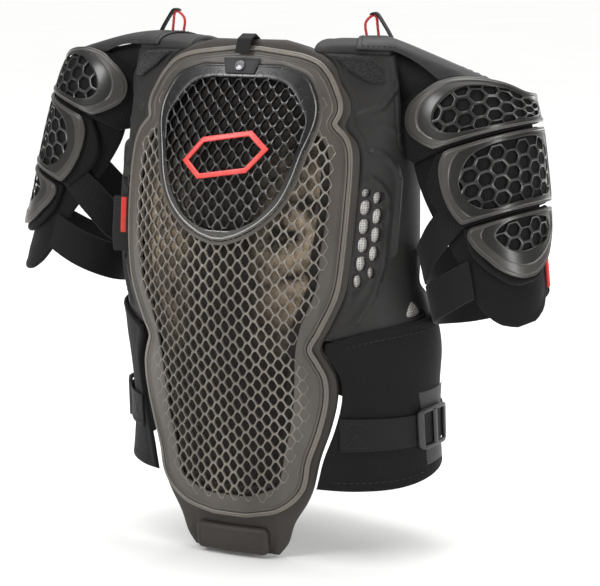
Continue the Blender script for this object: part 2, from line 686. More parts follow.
def inside(points, outline):
    """True for each point that an outline holds."""
    held = np.zeros(len(points), bool)
    for a, b in zip(outline, np.roll(outline, -1, 0)):
        crosses = (a[1] > points[:, 1]) != (b[1] > points[:, 1])
        rise = b[1] - a[1] if b[1] != a[1] else 1e-9
        at = (b[0] - a[0]) * (points[:, 1] - a[1]) / rise + a[0]
        held ^= crosses & (points[:, 0] < at)
    return held


def eased(d, low, high):
    """0 below low, 1 above high, smooth between."""
    t = np.clip((d - low) / (high - low), 0, 1)
    return t * t * (3 - 2 * t)


RIDGE_SHOULDER = 2.6


def ridge(points, route, width):
    """1 on a route, falling to 0 over a steep shoulder at half its width to each side."""
    away = distance_to(points, np.asarray(route, float), closed=False)
    return eased(-away, -width / 2, -width / 2 + RIDGE_SHOULDER)


EDGE_ROWS = (0, 0.5, 1.4, 2.8)  # mm from an edge, close enough to round it


def spread(width, count, edge=EDGE_ROWS):
    """Places across a width, close together near both edges."""
    width = np.asarray(width, float)[..., None]
    near = np.minimum(np.array(edge), width / 2 * np.linspace(0, 0.8, len(edge)))
    first = near[..., -1:]
    middle = first + (width - 2 * first) * np.linspace(0, 1, count + 1)
    return np.concatenate([near[..., :-1], middle, width - near[..., :-1][..., ::-1]], -1)


def rows_between(top, bottom, step):
    """Heights from top to bottom, about a step apart and closer near both ends."""
    return top - spread(top - bottom, max(int(round((top - bottom) / step)), 1))


def panel(x, z, base, thick, place, edge=3.0, low=0.35, bumps=None, d=None):
    """A closed panel from a grid of pattern places, with its edges rounded over `edge` mm. bumps
    gives extra height from (points, distance from the edge)."""
    rows, columns = x.shape
    flat = np.column_stack([x.ravel(), z.ravel()])
    grid = np.arange(rows * columns).reshape(rows, columns)
    border = np.concatenate([grid[0, :-1], grid[:-1, -1], grid[-1, :0:-1], grid[:0:-1, 0]])
    if d is None:
        d = distance_to(flat, flat[border])
        d[border] = 0
    full = np.sqrt(np.clip(1 - (1 - np.clip(d / edge, 0, 1)) ** 2, 0, 1))
    top = base + thick * (low + (1 - low) * full)
    if bumps is not None:
        top = top + bumps(flat, d)
    under = base + thick * low * (1 - full)
    inner = grid[1:-1, 1:-1].ravel()
    below = np.arange(rows * columns)
    below[inner] = rows * columns + np.arange(len(inner))
    below = below.reshape(rows, columns)
    verts = np.vstack([place(flat[:, 0], flat[:, 1], top),
                       place(flat[inner, 0], flat[inner, 1], under[inner])])
    faces = []
    for skin, turned in ((grid, 1), (below, -1)):
        corners = [skin[:-1, :-1], skin[:-1, 1:], skin[1:, 1:], skin[1:, :-1]]
        if turned < 0:
            corners = [corners[k] for k in (0, 3, 2, 1)]
        faces += np.column_stack([corner.ravel() for corner in corners]).tolist()
    return verts, faces, np.vstack([flat, flat[inner]])


def ring(loops, place):
    """A closed band in the flat: each loop is (points, lift), joined to the next, and the last to
    the first."""
    count = len(loops[0][0])
    flat = np.vstack([points for points, _ in loops])
    lift = np.concatenate([np.broadcast_to(lift, count) for _, lift in loops])
    i = np.arange(count)
    j = (i + 1) % count
    faces = []
    for a in range(len(loops)):
        b = (a + 1) % len(loops)
        faces += np.column_stack([a * count + i, a * count + j, b * count + j, b * count + i]).tolist()
    return place(flat[:, 0], flat[:, 1], lift), faces, flat


def profiled(outline, profile, level=0.0):
    """Loops of an outline moved inward, from rows of (inward, lift above the level)."""
    return [(shifted(outline, inward), level + lift) for inward, lift in profile]


def between(a, b, count):
    """Loops from a to b, both (points, lift), leaving out both ends."""
    return [(a[0] + (b[0] - a[0]) * s, a[1] + (b[1] - a[1]) * s)
            for s in np.linspace(0, 1, count + 1)[1:-1]]


def tube(path, radius, sides=8, closed=False):
    """A round bar along points in metres."""
    path = np.asarray(path, float)
    count = len(path)
    radius = np.broadcast_to(radius, count) * MM
    along = (np.roll(path, -1, 0) - np.roll(path, 1, 0)) if closed else np.gradient(path, axis=0)
    along /= np.linalg.norm(along, axis=1, keepdims=True)
    side = unit(np.cross(along[0], (0.31, 0.22, 0.93)))
    verts = []
    for i in range(count):
        side = unit(side - along[i] * side.dot(along[i]))
        other = np.cross(along[i], side)
        for k in range(sides):
            turn = 2 * math.pi * k / sides
            verts.append(path[i] + radius[i] * (math.cos(turn) * side + math.sin(turn) * other))
    faces = []
    for i in range(count if closed else count - 1):
        n = (i + 1) % count
        for k in range(sides):
            m = (k + 1) % sides
            faces.append((i * sides + k, i * sides + m, n * sides + m, n * sides + k))
    if not closed:
        faces.append(tuple(range(sides))[::-1])
        faces.append(tuple((count - 1) * sides + k for k in range(sides)))
    return np.array(verts), faces, None


def stitches(line, place, lift, length=3.4, pitch=5.0, thread=0.45):
    """A row of stitches along an open line in the flat, each one bedded at its ends."""
    fine = even_steps(line, 1.0, closed=False)
    reach = len(fine) - 1
    parts = []
    for start in np.arange(1.0, reach - length, pitch):
        at = start + length * np.array([0, 0.2, 0.5, 0.8, 1])
        x, z = (np.interp(at, range(len(fine)), fine[:, k]) for k in (0, 1))
        rise = np.array([-0.25, 0.25, 0.4, 0.25, -0.25])
        parts.append(tube(place(x, z, lift + rise), thread * np.array([0.5, 1, 1, 1, 0.5]), sides=5))
    return joined(parts)


def turned_area(outline):
    """Twice an outline's area, below 0 where it runs clockwise."""
    after = np.roll(outline, -1, 0)
    return float((outline[:, 0] * after[:, 1] - outline[:, 1] * after[:, 0]).sum())


def clockwise(outline):
    return outline if turned_area(outline) < 0 else outline[::-1]


def cloth(outline):
    """Declares a cloth piece from the outline that it was cut to, in millimetres."""
    width, length = np.ptp(outline[:, 0]) * MM, np.ptp(outline[:, 1]) * MM
    # the frame takes an area between 0.3 and 1 of the flat rectangle
    area = min(max(abs(turned_area(outline)) / 2 * MM * MM, 0.31 * width * length), width * length)


def grid_edge(x, z):
    """The outline of a grid of pattern places, clockwise from its top left."""
    grid = np.stack([x, z], -1)
    return np.vstack([grid[0], grid[:, -1], grid[-1, ::-1], grid[::-1, 0]])


def share_grid(long, rows, wide, columns):
    """A grid of shares along and across a strip, close together near its edges."""
    return np.meshgrid(spread(np.array(long), rows) / long, spread(np.array(wide), columns) / wide,
                       indexing="ij")


# Nets


def in_edit(obj, mode="VERT"):
    """Opens a model in edit mode."""
    bpy.context.view_layer.objects.active = obj
    obj.select_set(True)
    bpy.ops.object.mode_set(mode="EDIT")
    bpy.ops.mesh.select_mode(type=mode)


def pick(obj, wanted):
    """Selects the vertices whose index or place passes, in edit mode."""
    mesh = bmesh.from_edit_mesh(obj.data)
    for v in mesh.verts:
        v.select_set(bool(wanted(v)))
    mesh.select_flush_mode()
    bmesh.update_edit_mesh(obj.data)


def rounded(obj, width, segments):
    """Rounds a model's sharp edges; width is the round's, in the model's millimetres."""
    bevel = obj.modifiers.new("rounding", "BEVEL")
    bevel.width, bevel.segments, bevel.limit_method = width, segments, "ANGLE"
    bpy.ops.object.modifier_apply(modifier="rounding")


def taken(obj):
    """The points and faces of a flat model, which is then removed."""
    mesh = obj.data
    verts = np.array([v.co[:] for v in mesh.vertices])
    faces = [tuple(p.vertices) for p in mesh.polygons]
    bpy.data.objects.remove(obj)
    return verts, faces


def cell_corners(across, pitch, tip):
    """A cell's six corners round its centre, anticlockwise from its right."""
    side, half = across - tip, pitch / 2
    return np.array([(side, 0), (tip, half), (-tip, half), (-side, 0), (-tip, -half), (tip, -half)])


def net_cell(across, pitch, tip, share, dip, corner):
    """One cell of a net, modelled in the flat: the near half of each bar round a rounded hole. Its
    top is at height 1 and its underside at 0. share is the hole's part of the cell, dip the height
    over which its edge is rounded, corner the pull on its corners."""
    corners = cell_corners(across, pitch, tip)
    bpy.ops.mesh.primitive_circle_add(vertices=12, radius=1)
    cell = bpy.context.object
    for k, v in enumerate(cell.data.vertices):
        a, b = corners[k // 2], corners[(k // 2 + k % 2) % 6]
        v.co = ((a[0] + b[0]) / 2, (a[1] + b[1]) / 2, 1)
    in_edit(cell)
    bpy.ops.mesh.select_all(action="SELECT")
    bpy.ops.mesh.extrude_edges_move(TRANSFORM_OT_translate={"value": (0, 0, -dip)})
    bpy.ops.transform.resize(value=(share, share, 1), center_override=(0, 0, 0))
    pick(cell, lambda v: v.index >= 12 and v.index % 2 == 0)
    bpy.ops.transform.resize(value=(corner, corner, 1), center_override=(0, 0, 0))
    pick(cell, lambda v: v.index >= 12)
    bpy.ops.mesh.extrude_edges_move(TRANSFORM_OT_translate={"value": (0, 0, dip - 1)})
    bpy.ops.mesh.extrude_edges_move(TRANSFORM_OT_translate={"value": (0, 0, 0)})
    bpy.ops.transform.resize(value=(1 / share, 1 / share, 1), center_override=(0, 0, 0))
    pick(cell, lambda v: v.index >= 36 and v.index % 2 == 0)
    bpy.ops.transform.resize(value=(1 / corner, 1 / corner, 1), center_override=(0, 0, 0))
    bpy.ops.object.mode_set(mode="OBJECT")
    return taken(cell)


def whole_cells(centres, corners, outline):
    """True for each cell that an outline holds with all its corners."""
    return np.all([inside(centres + corner, outline) for corner in corners], axis=0)


def numbered(low, high, step):
    """The numbers of the steps that cover a stretch."""
    return range(math.floor(low / step), math.ceil(high / step) + 1)


def copied_net(cell, across, pitch, keep, extent, place, bottom, top, start=(0, 0)):
    """Copies of a cell side by side, welded along their bars and closed round the outside. keep
    takes centres and says which to copy; one cell's centre lies at start."""
    shape, quads = cell
    (x_low, x_high), (z_low, z_high) = extent
    centres = []
    for column in numbered(x_low - start[0], x_high - start[0], across):
        shift = pitch / 2 if column % 2 else 0
        for row in numbered(z_low - start[1], z_high - start[1], pitch):
            centres.append((start[0] + column * across, start[1] + row * pitch + shift))
    centres = np.array(centres)
    centres = centres[keep(centres)]
    points = (shape[None] + np.column_stack([centres, np.zeros(len(centres))])[:, None]).reshape(-1, 3)
    # points that fall on one another to about 0.06 mm are one point
    keys = np.round(points * (16, 16, 40) + (0.137, 0.137, 0.1)).astype(int)
    _, first, same = np.unique(keys, axis=0, return_index=True, return_inverse=True)
    same = same.reshape(-1)
    points = points[first]
    first_points = (np.arange(len(centres)) * len(shape))[:, None, None]
    faces = same[np.array(quads)[None] + first_points].reshape(-1, 4).tolist()
    spots = [tuple(key[:2]) for key in keys[first].tolist()]
    on_top, beneath = points[:, 2] > 0.999, points[:, 2] < 0.001
    under = {spot: i for i, spot in enumerate(spots) if beneath[i]}
    # an edge that only one cell has is the net's outside, and gets a wall down to the underside
    directed = {(a, b) for f in faces for a, b in zip(f, f[1:] + f[:1])}
    walls = [(b, a, under[spots[a]], under[spots[b]]) for a, b in directed
             if (b, a) not in directed and on_top[a] and on_top[b]]
    lift = bottom + (top - bottom) * points[:, 2]
    return place(points[:, 0], points[:, 1], lift), faces + walls, points[:, :2]


def fitted(outer, half, ends, opening):
    """The place on an opening's edge that faces each place on an even outline."""
    rows = np.asarray(opening, float)
    share = (ends[0] - outer[:, 1]) / (ends[0] - ends[1])
    down = rows[0, 0] + share * (rows[-1, 0] - rows[0, 0])
    across = np.clip(outer[:, 0] / np.maximum(half(outer[:, 1]), 1e-6), -1, 1)
    return np.column_stack([across * smooth(rows, down), -down])


# columns of cells apart, rows of cells apart, and half the length of a cell's level bars
PITCH = 15.4
ACROSS, TIP = 7.5, 1.6
ARM_ACROSS, ARM_TIP = 13.2, 4.5
BACK_CELL = net_cell(ACROSS, PITCH, TIP, 0.865, 0.16, 0.94)
ARM_CELL = net_cell(ARM_ACROSS, PITCH, ARM_TIP, 0.83, 0.3, 0.95)
BACK_CORNERS = cell_corners(ACROSS, PITCH, TIP)
ARM_CORNERS = cell_corners(ARM_ACROSS, PITCH, ARM_TIP)


def plate_half(z):
    return smooth(PLATE_OUTLINE, (PLATE_TOP - z) / PLATE_LENGTH) * PLATE_HALF


def insert_half(z):
    return smooth(INSERT_OUTLINE, (INSERT_TOP - z) / INSERT_LENGTH) * INSERT_HALF


PLATE_BASE, PLATE_FACE = 10.85, 14.7

PLATE_EDGE = even_outline(plate_half, PLATE_TOP, PLATE_BOTTOM, 3.0)
INSERT_EDGE = even_outline(insert_half, INSERT_TOP, INSERT_BOTTOM, 2.6)


def border(outer, inner, base, face, place, steps=5, lip=0.9):
    """A plate's border in the flat: a raised double line just inside its edge, then a flat field
    that ends in a rounded step at its opening."""
    field = face - 0.55
    double_line = [(0, -0.9), (0.35, -0.2), (1.0, 0), (2.2, 0), (2.6, -0.45), (3.0, -0.45), (3.4, 0),
                   (4.4, 0), (5.2, -0.55)]
    field_loop = (shifted(outer, 6.0), field)
    step_loop = (inner + (shifted(outer, 6.0) - inner) * 0.06, field)
    loops = [(outer, base), *profiled(outer, double_line, face), field_loop,
             *between(field_loop, step_loop, steps), step_loop,
             (inner + (step_loop[0] - inner) * 0.3, field - lip * 0.35), (inner, field - lip),
             (inner, base + 0.6)]
    loops += between(loops[-1], (outer, base), steps)
    return ring(loops, place)


def back_plate():
    opening = fitted(PLATE_EDGE, plate_half, (PLATE_TOP, PLATE_BOTTOM), PLATE_OPENING)
    frame_part = border(PLATE_EDGE, opening, PLATE_BASE, PLATE_FACE, on_body)
    room = shifted(PLATE_EDGE, 8.5)

    def keep(centres):
        behind = inside(centres, INSERT_EDGE) & (distance_to(centres, INSERT_EDGE) > 1.5)
        return whole_cells(centres, BACK_CORNERS, room) & ~behind

    net = copied_net(BACK_CELL, ACROSS, PITCH, keep, ((-125, 125), (-490, -10)), on_body,
                     PLATE_BASE + 0.2, PLATE_FACE - 0.05)
    # a raised lip all round the insert
    profile = [(-0.9, 12.0), (-0.9, 14.9), (-1.4, 15.3), (-3.6, 15.2), (-4.6, 14.6), (-5.0, 12.0)]
    lip = ring(profiled(INSERT_EDGE, profile), on_body)
    piece("back_plate_border", [frame_part, lip], SMOKED, "smoked", "back_plate", smooth_to=38)
    piece("back_plate_net", [net], SMOKED_BARS, "smoked", smooth_to=38)


def plate_rim():
    """The welt round the plate: two soft beads with a fine groove between them."""
    profile = [(-0.5, 10.9), (-0.5, 14.2), (-0.9, 15.4), (-1.7, 15.8), (-2.6, 15.5), (-3.0, 15.0),
               (-3.4, 15.2), (-4.3, 15.2), (-5.2, 14.6), (-5.7, 13.2), (-5.7, 10.9)]
    piece("plate_rim", [ring(profiled(PLATE_EDGE, profile), on_body)], RIM_PLASTIC, "smoked",
          "plate_welt", smooth_to=60)


def plate_insert():
    opening = fitted(INSERT_EDGE, insert_half, (INSERT_TOP, INSERT_BOTTOM), INSERT_OPENING)
    base, face = 14.0, 16.2
    bead = [(0, -0.6), (0.4, -0.1), (1.2, 0), (2.2, -0.1), (2.7, -0.5)]
    field = (shifted(INSERT_EDGE, 3.2), face - 0.5)
    step = (opening + (field[0] - opening) * 0.1, face - 0.5)
    loops = [(INSERT_EDGE, base), *profiled(INSERT_EDGE, bead, face), field, *between(field, step, 4),
             step, (opening + (field[0] - opening) * 0.03, face - 0.8), (opening, face - 1.3),
             (opening, base)]
    loops += between(loops[-1], (INSERT_EDGE, base), 4)
    room = shifted(INSERT_EDGE, 4.0)
    net = copied_net(BACK_CELL, ACROSS, PITCH, lambda centres: whole_cells(centres, BACK_CORNERS, room),
                     ((-90, 90), (-200, -20)), on_body, 11.2, face - 0.2)
    piece("insert_net", [ring(loops, on_body), net], GLOSS_BLACK, "black", "plate_insert",
          smooth_to=38)


back_plate()
plate_rim()
plate_insert()

# Foam shell, its lining and trim


def shell_edge_rows():
    """Half the back shell's width at distances down: the collar, a margin round the plate, the
    tail."""
    collar_top = PLATE_TOP + COLLAR_HEIGHT

    def outline(z):
        if z > PLATE_TOP - COLLAR_HEIGHT:
            return float(straight(COLLAR_OUTLINE, (collar_top - z) / COLLAR_HEIGHT)) * COLLAR_HALF
        plate = float(straight(PLATE_OUTLINE, (PLATE_TOP - z) / PLATE_LENGTH)) * PLATE_HALF
        around = plate + SHELL_MARGIN if z > PLATE_BOTTOM else 0
        tail = float(straight(TAIL_OUTLINE, (PLATE_BOTTOM - z) / TAIL_LENGTH)) * TAIL_HALF
        return max(around, tail if z < PLATE_BOTTOM + TAIL_LENGTH else 0)

    heights = [collar_top - d * COLLAR_HEIGHT for d, _ in COLLAR_OUTLINE]
    heights += [PLATE_TOP - d * PLATE_LENGTH for d, _ in PLATE_OUTLINE[3:-1]]
    heights += [PLATE_BOTTOM - d * TAIL_LENGTH for d, _ in TAIL_OUTLINE]
    kept = []
    for z in sorted(heights, reverse=True):
        if not kept or kept[-1] - z > 7:
            kept.append(z)
    return [(-z, outline(z)) for z in kept]


SHELL_ROWS = shell_edge_rows()
SHELL_TOP, SHELL_BOTTOM = -SHELL_ROWS[0][0], -SHELL_ROWS[-1][0]


def shell_half(z):
    return smooth(SHELL_ROWS, -np.asarray(z, float))


def body_grid(top, bottom, left, right, step, columns):
    """A grid of pattern places between two edges, each given as a function of the height."""
    z = rows_between(top, bottom, step)
    low, high = left(z), right(z)
    x = low[:, None] + spread(np.abs(high - low), columns) * np.sign(high - low)[:, None]
    return x, np.repeat(z[:, None], x.shape[1], 1)


def rounded_half(z, top, bottom, half, radius):
    """Half the width, at a height, of a rectangle with round corners."""
    near = np.clip(np.minimum(top - z, z - bottom), 0, radius)
    return half - radius + np.sqrt(np.clip(radius**2 - (radius - near) ** 2, 0, radius**2))


def opening_outline(rows, step):
    """The outline of an opening from its table of distances down and half widths."""
    rows = np.asarray(rows, float)
    return even_outline(lambda z: smooth(rows, -z), -rows[0, 0], -rows[-1, 0], step)


PLATE_OPENING_LINE = opening_outline(PLATE_OPENING, 5)


def back_shell():
    x, z = body_grid(SHELL_TOP, SHELL_BOTTOM, lambda z: -shell_half(z), shell_half, 4.2, 46)
    tail_line = [(-44, -503), (-47, -520), (-40, -541), (0, -545), (40, -541), (47, -520), (44, -503)]

    def bumps(points, d):
        # sunk behind the net, so that the holes look into shade, and pressed in round the lumbar pad
        sunk = inside(points, PLATE_OPENING_LINE) * eased(distance_to(points, PLATE_OPENING_LINE), 0, 7)
        channel = ridge(points, tail_line, 6)
        line = eased(-np.abs(d - 10.5), -1.6, 0) * (points[:, 1] < -60) * (points[:, 1] > -470)
        return -5.0 * sunk - 1.2 * channel - 0.5 * line

    shell = piece("back_foam", [panel(x, z, 0, 9, on_body, edge=6, low=0.4, bumps=bumps)], SHELL_FOAM,
                  "foam", "back_shell")

    inner = shifted(PLATE_OPENING_LINE, 8)
    half = lambda z: np.maximum(smooth(PLATE_OPENING, -z) - 8, 6)
    x, z = body_grid(inner[:, 1].max(), inner[:, 1].min(), lambda z: -half(z), half, 5, 34)
    lining = piece("back_lining", [panel(x, z, 4.1, 0.7, on_body, edge=0.8, low=0.3)], LINING, "mesh")
    cloth(grid_edge(x, z))


def lumbar_pad():
    """Foam pad low on the tail, with a pressed line inside its edge."""
    top = PLATE_BOTTOM - 17
    bottom = top - 31
    width = lambda z: rounded_half(z, top, bottom, 41, 7)
    x, z = body_grid(top, bottom, lambda z: -width(z), width, 1.8, 40)

    def bumps(points, d):
        return -0.9 * eased(-np.abs(d - 6.5), -1.4, 0) + 0.8 * eased(d, 7.5, 12)

    pad = piece("lumbar_foam", [panel(x, z, 9.6, 8.2, on_body, edge=5, low=0.3, bumps=bumps)], SHELL_FOAM,
                "foam", "lumbar_pad")


def seam(outline, inward, place, lift, *stitch):
    """Stitches all round a panel, a distance inside its edge."""
    line = shifted(clockwise(even_steps(outline, 1.0)), inward)
    return stitches(np.vstack([line, line[:1]]), place, lift, *stitch)


def snap_patch():
    """Rubberised patch for the press stud, narrower towards its foot, with a seam round it."""
    half = lambda z: 21 - (SNAP_TOP - z) * 0.3
    x, z = body_grid(SNAP_TOP, SNAP_TOP - SNAP_HEIGHT, lambda z: -half(z), half, 1.5, 26)
    bumps = lambda points, d: -0.25 * eased(-np.abs(d - 2.2), -0.7, 0)
    patch = piece("snap_tab", [panel(x, z, 16.5, 1.7, on_body, edge=0.9, low=0.3, bumps=bumps)],
                  RUBBER_CLOTH, "rubber", "snap_patch")
    edge = grid_edge(x, z)
    cloth(edge)
    thread = seam(edge, 2.2, on_body, 18.0, 2.2, 3.2, 0.28)
    piece("snap_tab_thread", [thread], THREAD, "fabric")


def snap_button():
    """Press stud: a turned cap with a rolled rim and a shallow dish."""
    z = SNAP_TOP - SNAP_HEIGHT * 0.55
    seat = on_body(0, z, 18.2)
    out = Vector(on_body(0, z, 20.0) - seat).normalized()
    bpy.ops.mesh.primitive_cylinder_add(vertices=36, radius=5.5, depth=2.2, location=(0, 0, 1.1))
    stud = bpy.context.object
    bpy.ops.object.transform_apply(location=True, rotation=False, scale=False)
    in_edit(stud, "FACE")
    bpy.ops.mesh.select_all(action="DESELECT")
    mesh = bmesh.from_edit_mesh(stud.data)
    for face in mesh.faces:
        face.select_set(face.normal.z > 0.9)
    bmesh.update_edit_mesh(stud.data)
    bpy.ops.mesh.inset(thickness=0.9)
    bpy.ops.mesh.inset(thickness=0.7, depth=-0.7)
    bpy.ops.mesh.inset(thickness=2.2, depth=0.5)
    bpy.ops.object.mode_set(mode="OBJECT")
    rounded(stud, 0.35, 3)
    verts, faces = taken(stud)
    turned = np.array([(out.to_track_quat("Z", "Y") @ Vector(v))[:] for v in verts]) * MM + seat
    piece("snap_stud", [(turned, faces, None)], GUNMETAL, "metal", "snap_button", smooth_to=35)


def folded_tape(route, outer, half, place):
    """A tape that follows a route of (z, lift), with its outside as a second route."""
    inner, outer = (even_steps(r, 1.2, closed=False) for r in (route, outer))
    count = max(len(inner), len(outer))
    share = np.linspace(0, 1, count)
    inner, outer = (np.column_stack([np.interp(share, np.linspace(0, 1, len(r)), r[:, k]) for k in (0, 1)])
                    for r in (inner, outer))
    xs = np.array([-half, -half + 0.4, -half / 3, half / 3, half - 0.4, half])
    loop = np.concatenate([xs, xs[::-1]])
    count_x = len(xs)
    verts, flat = [], []
    for (zi, li), (zo, lo) in zip(inner, outer):
        ease = np.concatenate([[0.5, 0, 0, 0, 0, 0.5], [0.5, 1, 1, 1, 1, 0.5]])
        verts.append(place(loop, zi + (zo - zi) * ease, li + (lo - li) * ease))
        flat.append(np.column_stack([loop, np.full(2 * count_x, len(flat) * 1.2)]))
    verts, flat = np.vstack(verts), np.vstack(flat)
    keep = [k for k in range(2 * count_x) if k not in (count_x, 2 * count_x - 1)]
    size = len(keep)
    chosen = np.concatenate([np.array(keep) + r * 2 * count_x for r in range(count)])
    faces = []
    for r in range(count - 1):
        for k in range(size):
            m = (k + 1) % size
            faces.append((r * size + k, r * size + m, (r + 1) * size + m, (r + 1) * size + k))
    faces.append(tuple(range(size))[::-1])
    faces.append(tuple((count - 1) * size + k for k in range(size)))
    return verts[chosen], faces, flat[chosen]


def collar_tab():
    """Tape folded over the collar: sewn to the plate's face and to the shell's inside."""
    outside, top, seam, tape = 19.85, PLATE_TOP + COLLAR_HEIGHT, 0.7, 1.6
    route = [(PLATE_TOP - 4, outside), (PLATE_TOP + 9, outside), (top + seam, 12), (top + seam, 4.5),
             (top + seam / 2, -seam - 1), (PLATE_TOP + 9, -seam - 1)]
    outer = [(PLATE_TOP - 4, outside + tape), (PLATE_TOP + 10, outside + tape),
             (top + seam + tape, 13), (top + seam + tape, 4.5),
             (top + seam + tape / 2, -seam - 1 - tape), (PLATE_TOP + 9, -seam - 1 - tape)]
    tab = piece("collar_tape", [folded_tape(route, outer, 8, on_body)], WEBBING, "fabric", "collar_tab")


def label_part(reach, share, thick=1.3, base=0.0):
    """Part of the side label: reach is from and to in mm off the shell's edge, share down it."""
    top, length = -0.3 * BODY_HEIGHT, 58
    edge = lambda z: shell_half(z) + 0.7
    out = on_body(-edge(np.array(top)), top, 0) - on_body(-edge(np.array(top)), top, -1)
    away = unit(np.array((-1.0, 0, 0)) + out / MM * 0.9)
    z, x = np.meshgrid(top - length * np.linspace(*share, 24), np.linspace(*reach, 10), indexing="ij")

    def place(x, z, lift):
        wave = 0.5 * np.sin((z - top) / 9) * eased(x, 4, 17)
        return on_body(-edge(z), z, 9.7 + lift + wave) + away * (x * MM)[..., None]

    return panel(x, z, base, thick, place, edge=0.6, low=0.3), grid_edge(x, z)


def side_label():
    part, edge = label_part((0.5, 17), (0, 1))
    label = piece("blank_label", [part], LABEL, "fabric", "side_tag")
    cloth(edge)
    # a raised print in red silicone, pressed onto the label
    part, _ = label_part((1.6, 7.2), (0.02, 0.66), 0.5, 1.25)
    piece("label_field", [part], RED_RUBBER, "red")


def badge():
    """Plain six-sided outline, moulded and welded to the bars."""
    middle = INSERT_TOP - INSERT_LENGTH * 0.52
    bpy.ops.mesh.primitive_circle_add(vertices=6, radius=1, fill_type="NGON")
    mark = bpy.context.object
    for v, p in zip(mark.data.vertices, [(46, 0), (26, 20), (-26, 20), (-46, 0), (-26, -20), (26, -20)]):
        v.co = (p[0], p[1], 0)
    in_edit(mark, "FACE")
    bpy.ops.mesh.select_all(action="SELECT")
    bpy.ops.mesh.normals_make_consistent(inside=False)
    bpy.ops.mesh.inset(thickness=5)
    bpy.ops.mesh.delete(type="FACE")
    bpy.ops.mesh.select_all(action="SELECT")
    bpy.ops.mesh.extrude_region_move(TRANSFORM_OT_translate={"value": (0, 0, 2)})
    bpy.ops.mesh.select_all(action="SELECT")
    bpy.ops.mesh.normals_make_consistent(inside=False)
    bpy.ops.object.mode_set(mode="OBJECT")
    rounded(mark, 0.6, 2)
    in_edit(mark)
    bpy.ops.mesh.select_all(action="SELECT")
    bpy.ops.mesh.subdivide(number_cuts=4)
    bpy.ops.object.mode_set(mode="OBJECT")
    verts, faces = taken(mark)
    x, z, lift = verts.T
    place = on_body(x, middle + z + x * 0.16, 16.3 + lift)
    piece("badge_outline", [(place, faces, verts[:, :2])], RED_BADGE, "red", "badge", smooth_to=35)


back_shell()
lumbar_pad()
snap_patch()
snap_button()
collar_tab()
side_label()
badge()

# Side panels

RIB_OUTER = [(147, -106), (162, -110), (177, -124), (183, -138), (184, -160), (183, -213)]
RIB_INNER = [(147, -132), (158, -139), (168, -151), (171, -170), (169, -222), (156, -250), (134, -281)]
VENT_EDGE = [(143, -139), (155, -142), (165, -150), (169, -165), (168, -202), (163, -220),
             (152, -238), (137, -254)]
CRESCENT = [(163, -22), (160, -42), (150, -60), (128, -70)]
FOLD = [(150, -78), (162, -82), (178, -92)]
# centre and half sizes of the vent's holes, from its top down
VENT_HOLES = [
    (146.5, -147, 4.6, 4.6), (147.5, -162, 6.0, 8.0), (147.5, -181, 6.0, 8.2), (147.5, -200, 6.0, 8.2),
    (146, -219, 5.6, 8.0), (142, -237, 4.4, 6.8), (159.5, -152.5, 5.2, 6.4), (161.2, -171.5, 6.0, 8.2),
    (161, -190.5, 6.0, 8.2), (159.5, -209.5, 5.6, 8.0), (156.5, -229, 4.0, 6.0),
]
LOW_HOLE = [(186, -277), (198, -262), (212, -277)]


def panel_front(z):
    return smooth([(d * BODY_HEIGHT, r * PANEL_REACH) for d, r in PANEL_FRONT], -z)


def rounded_hole(x, z, half_x, half_z):
    """A hole between an oval and a rectangle, as a pressed vent's is."""
    turn = np.linspace(0, 2 * math.pi, 20, endpoint=False)
    blunt = lambda v: np.sign(v) * np.abs(v) ** 0.8
    return np.column_stack([x + half_x * blunt(np.cos(turn)), z + half_z * blunt(np.sin(turn))])


def plug(outline, bottom, top, place):
    """A solid through a panel, to cut a hole with."""
    count = len(outline)
    verts = np.vstack([place(outline[:, 0], outline[:, 1], lift) for lift in (bottom, top)])
    faces = [(i, (i + 1) % count, count + (i + 1) % count, count + i) for i in range(count)]
    faces += [tuple(range(count))[::-1], tuple(range(count, 2 * count))]
    return verts, faces, None


def cut_holes(obj, plugs):
    verts, faces, _ = joined(plugs)
    mesh = bpy.data.meshes.new("plugs")
    mesh.from_pydata(verts.tolist(), [], faces)
    cutter = bpy.data.objects.new("plugs", mesh)
    bpy.context.scene.collection.objects.link(cutter)
    hole = obj.modifiers.new("holes", "BOOLEAN")
    hole.operation, hole.solver, hole.object = "DIFFERENCE", "EXACT", cutter
    hole.use_self = True
    bpy.context.view_layer.objects.active = obj
    bpy.ops.object.modifier_apply(modifier="holes")
    bpy.data.objects.remove(cutter)


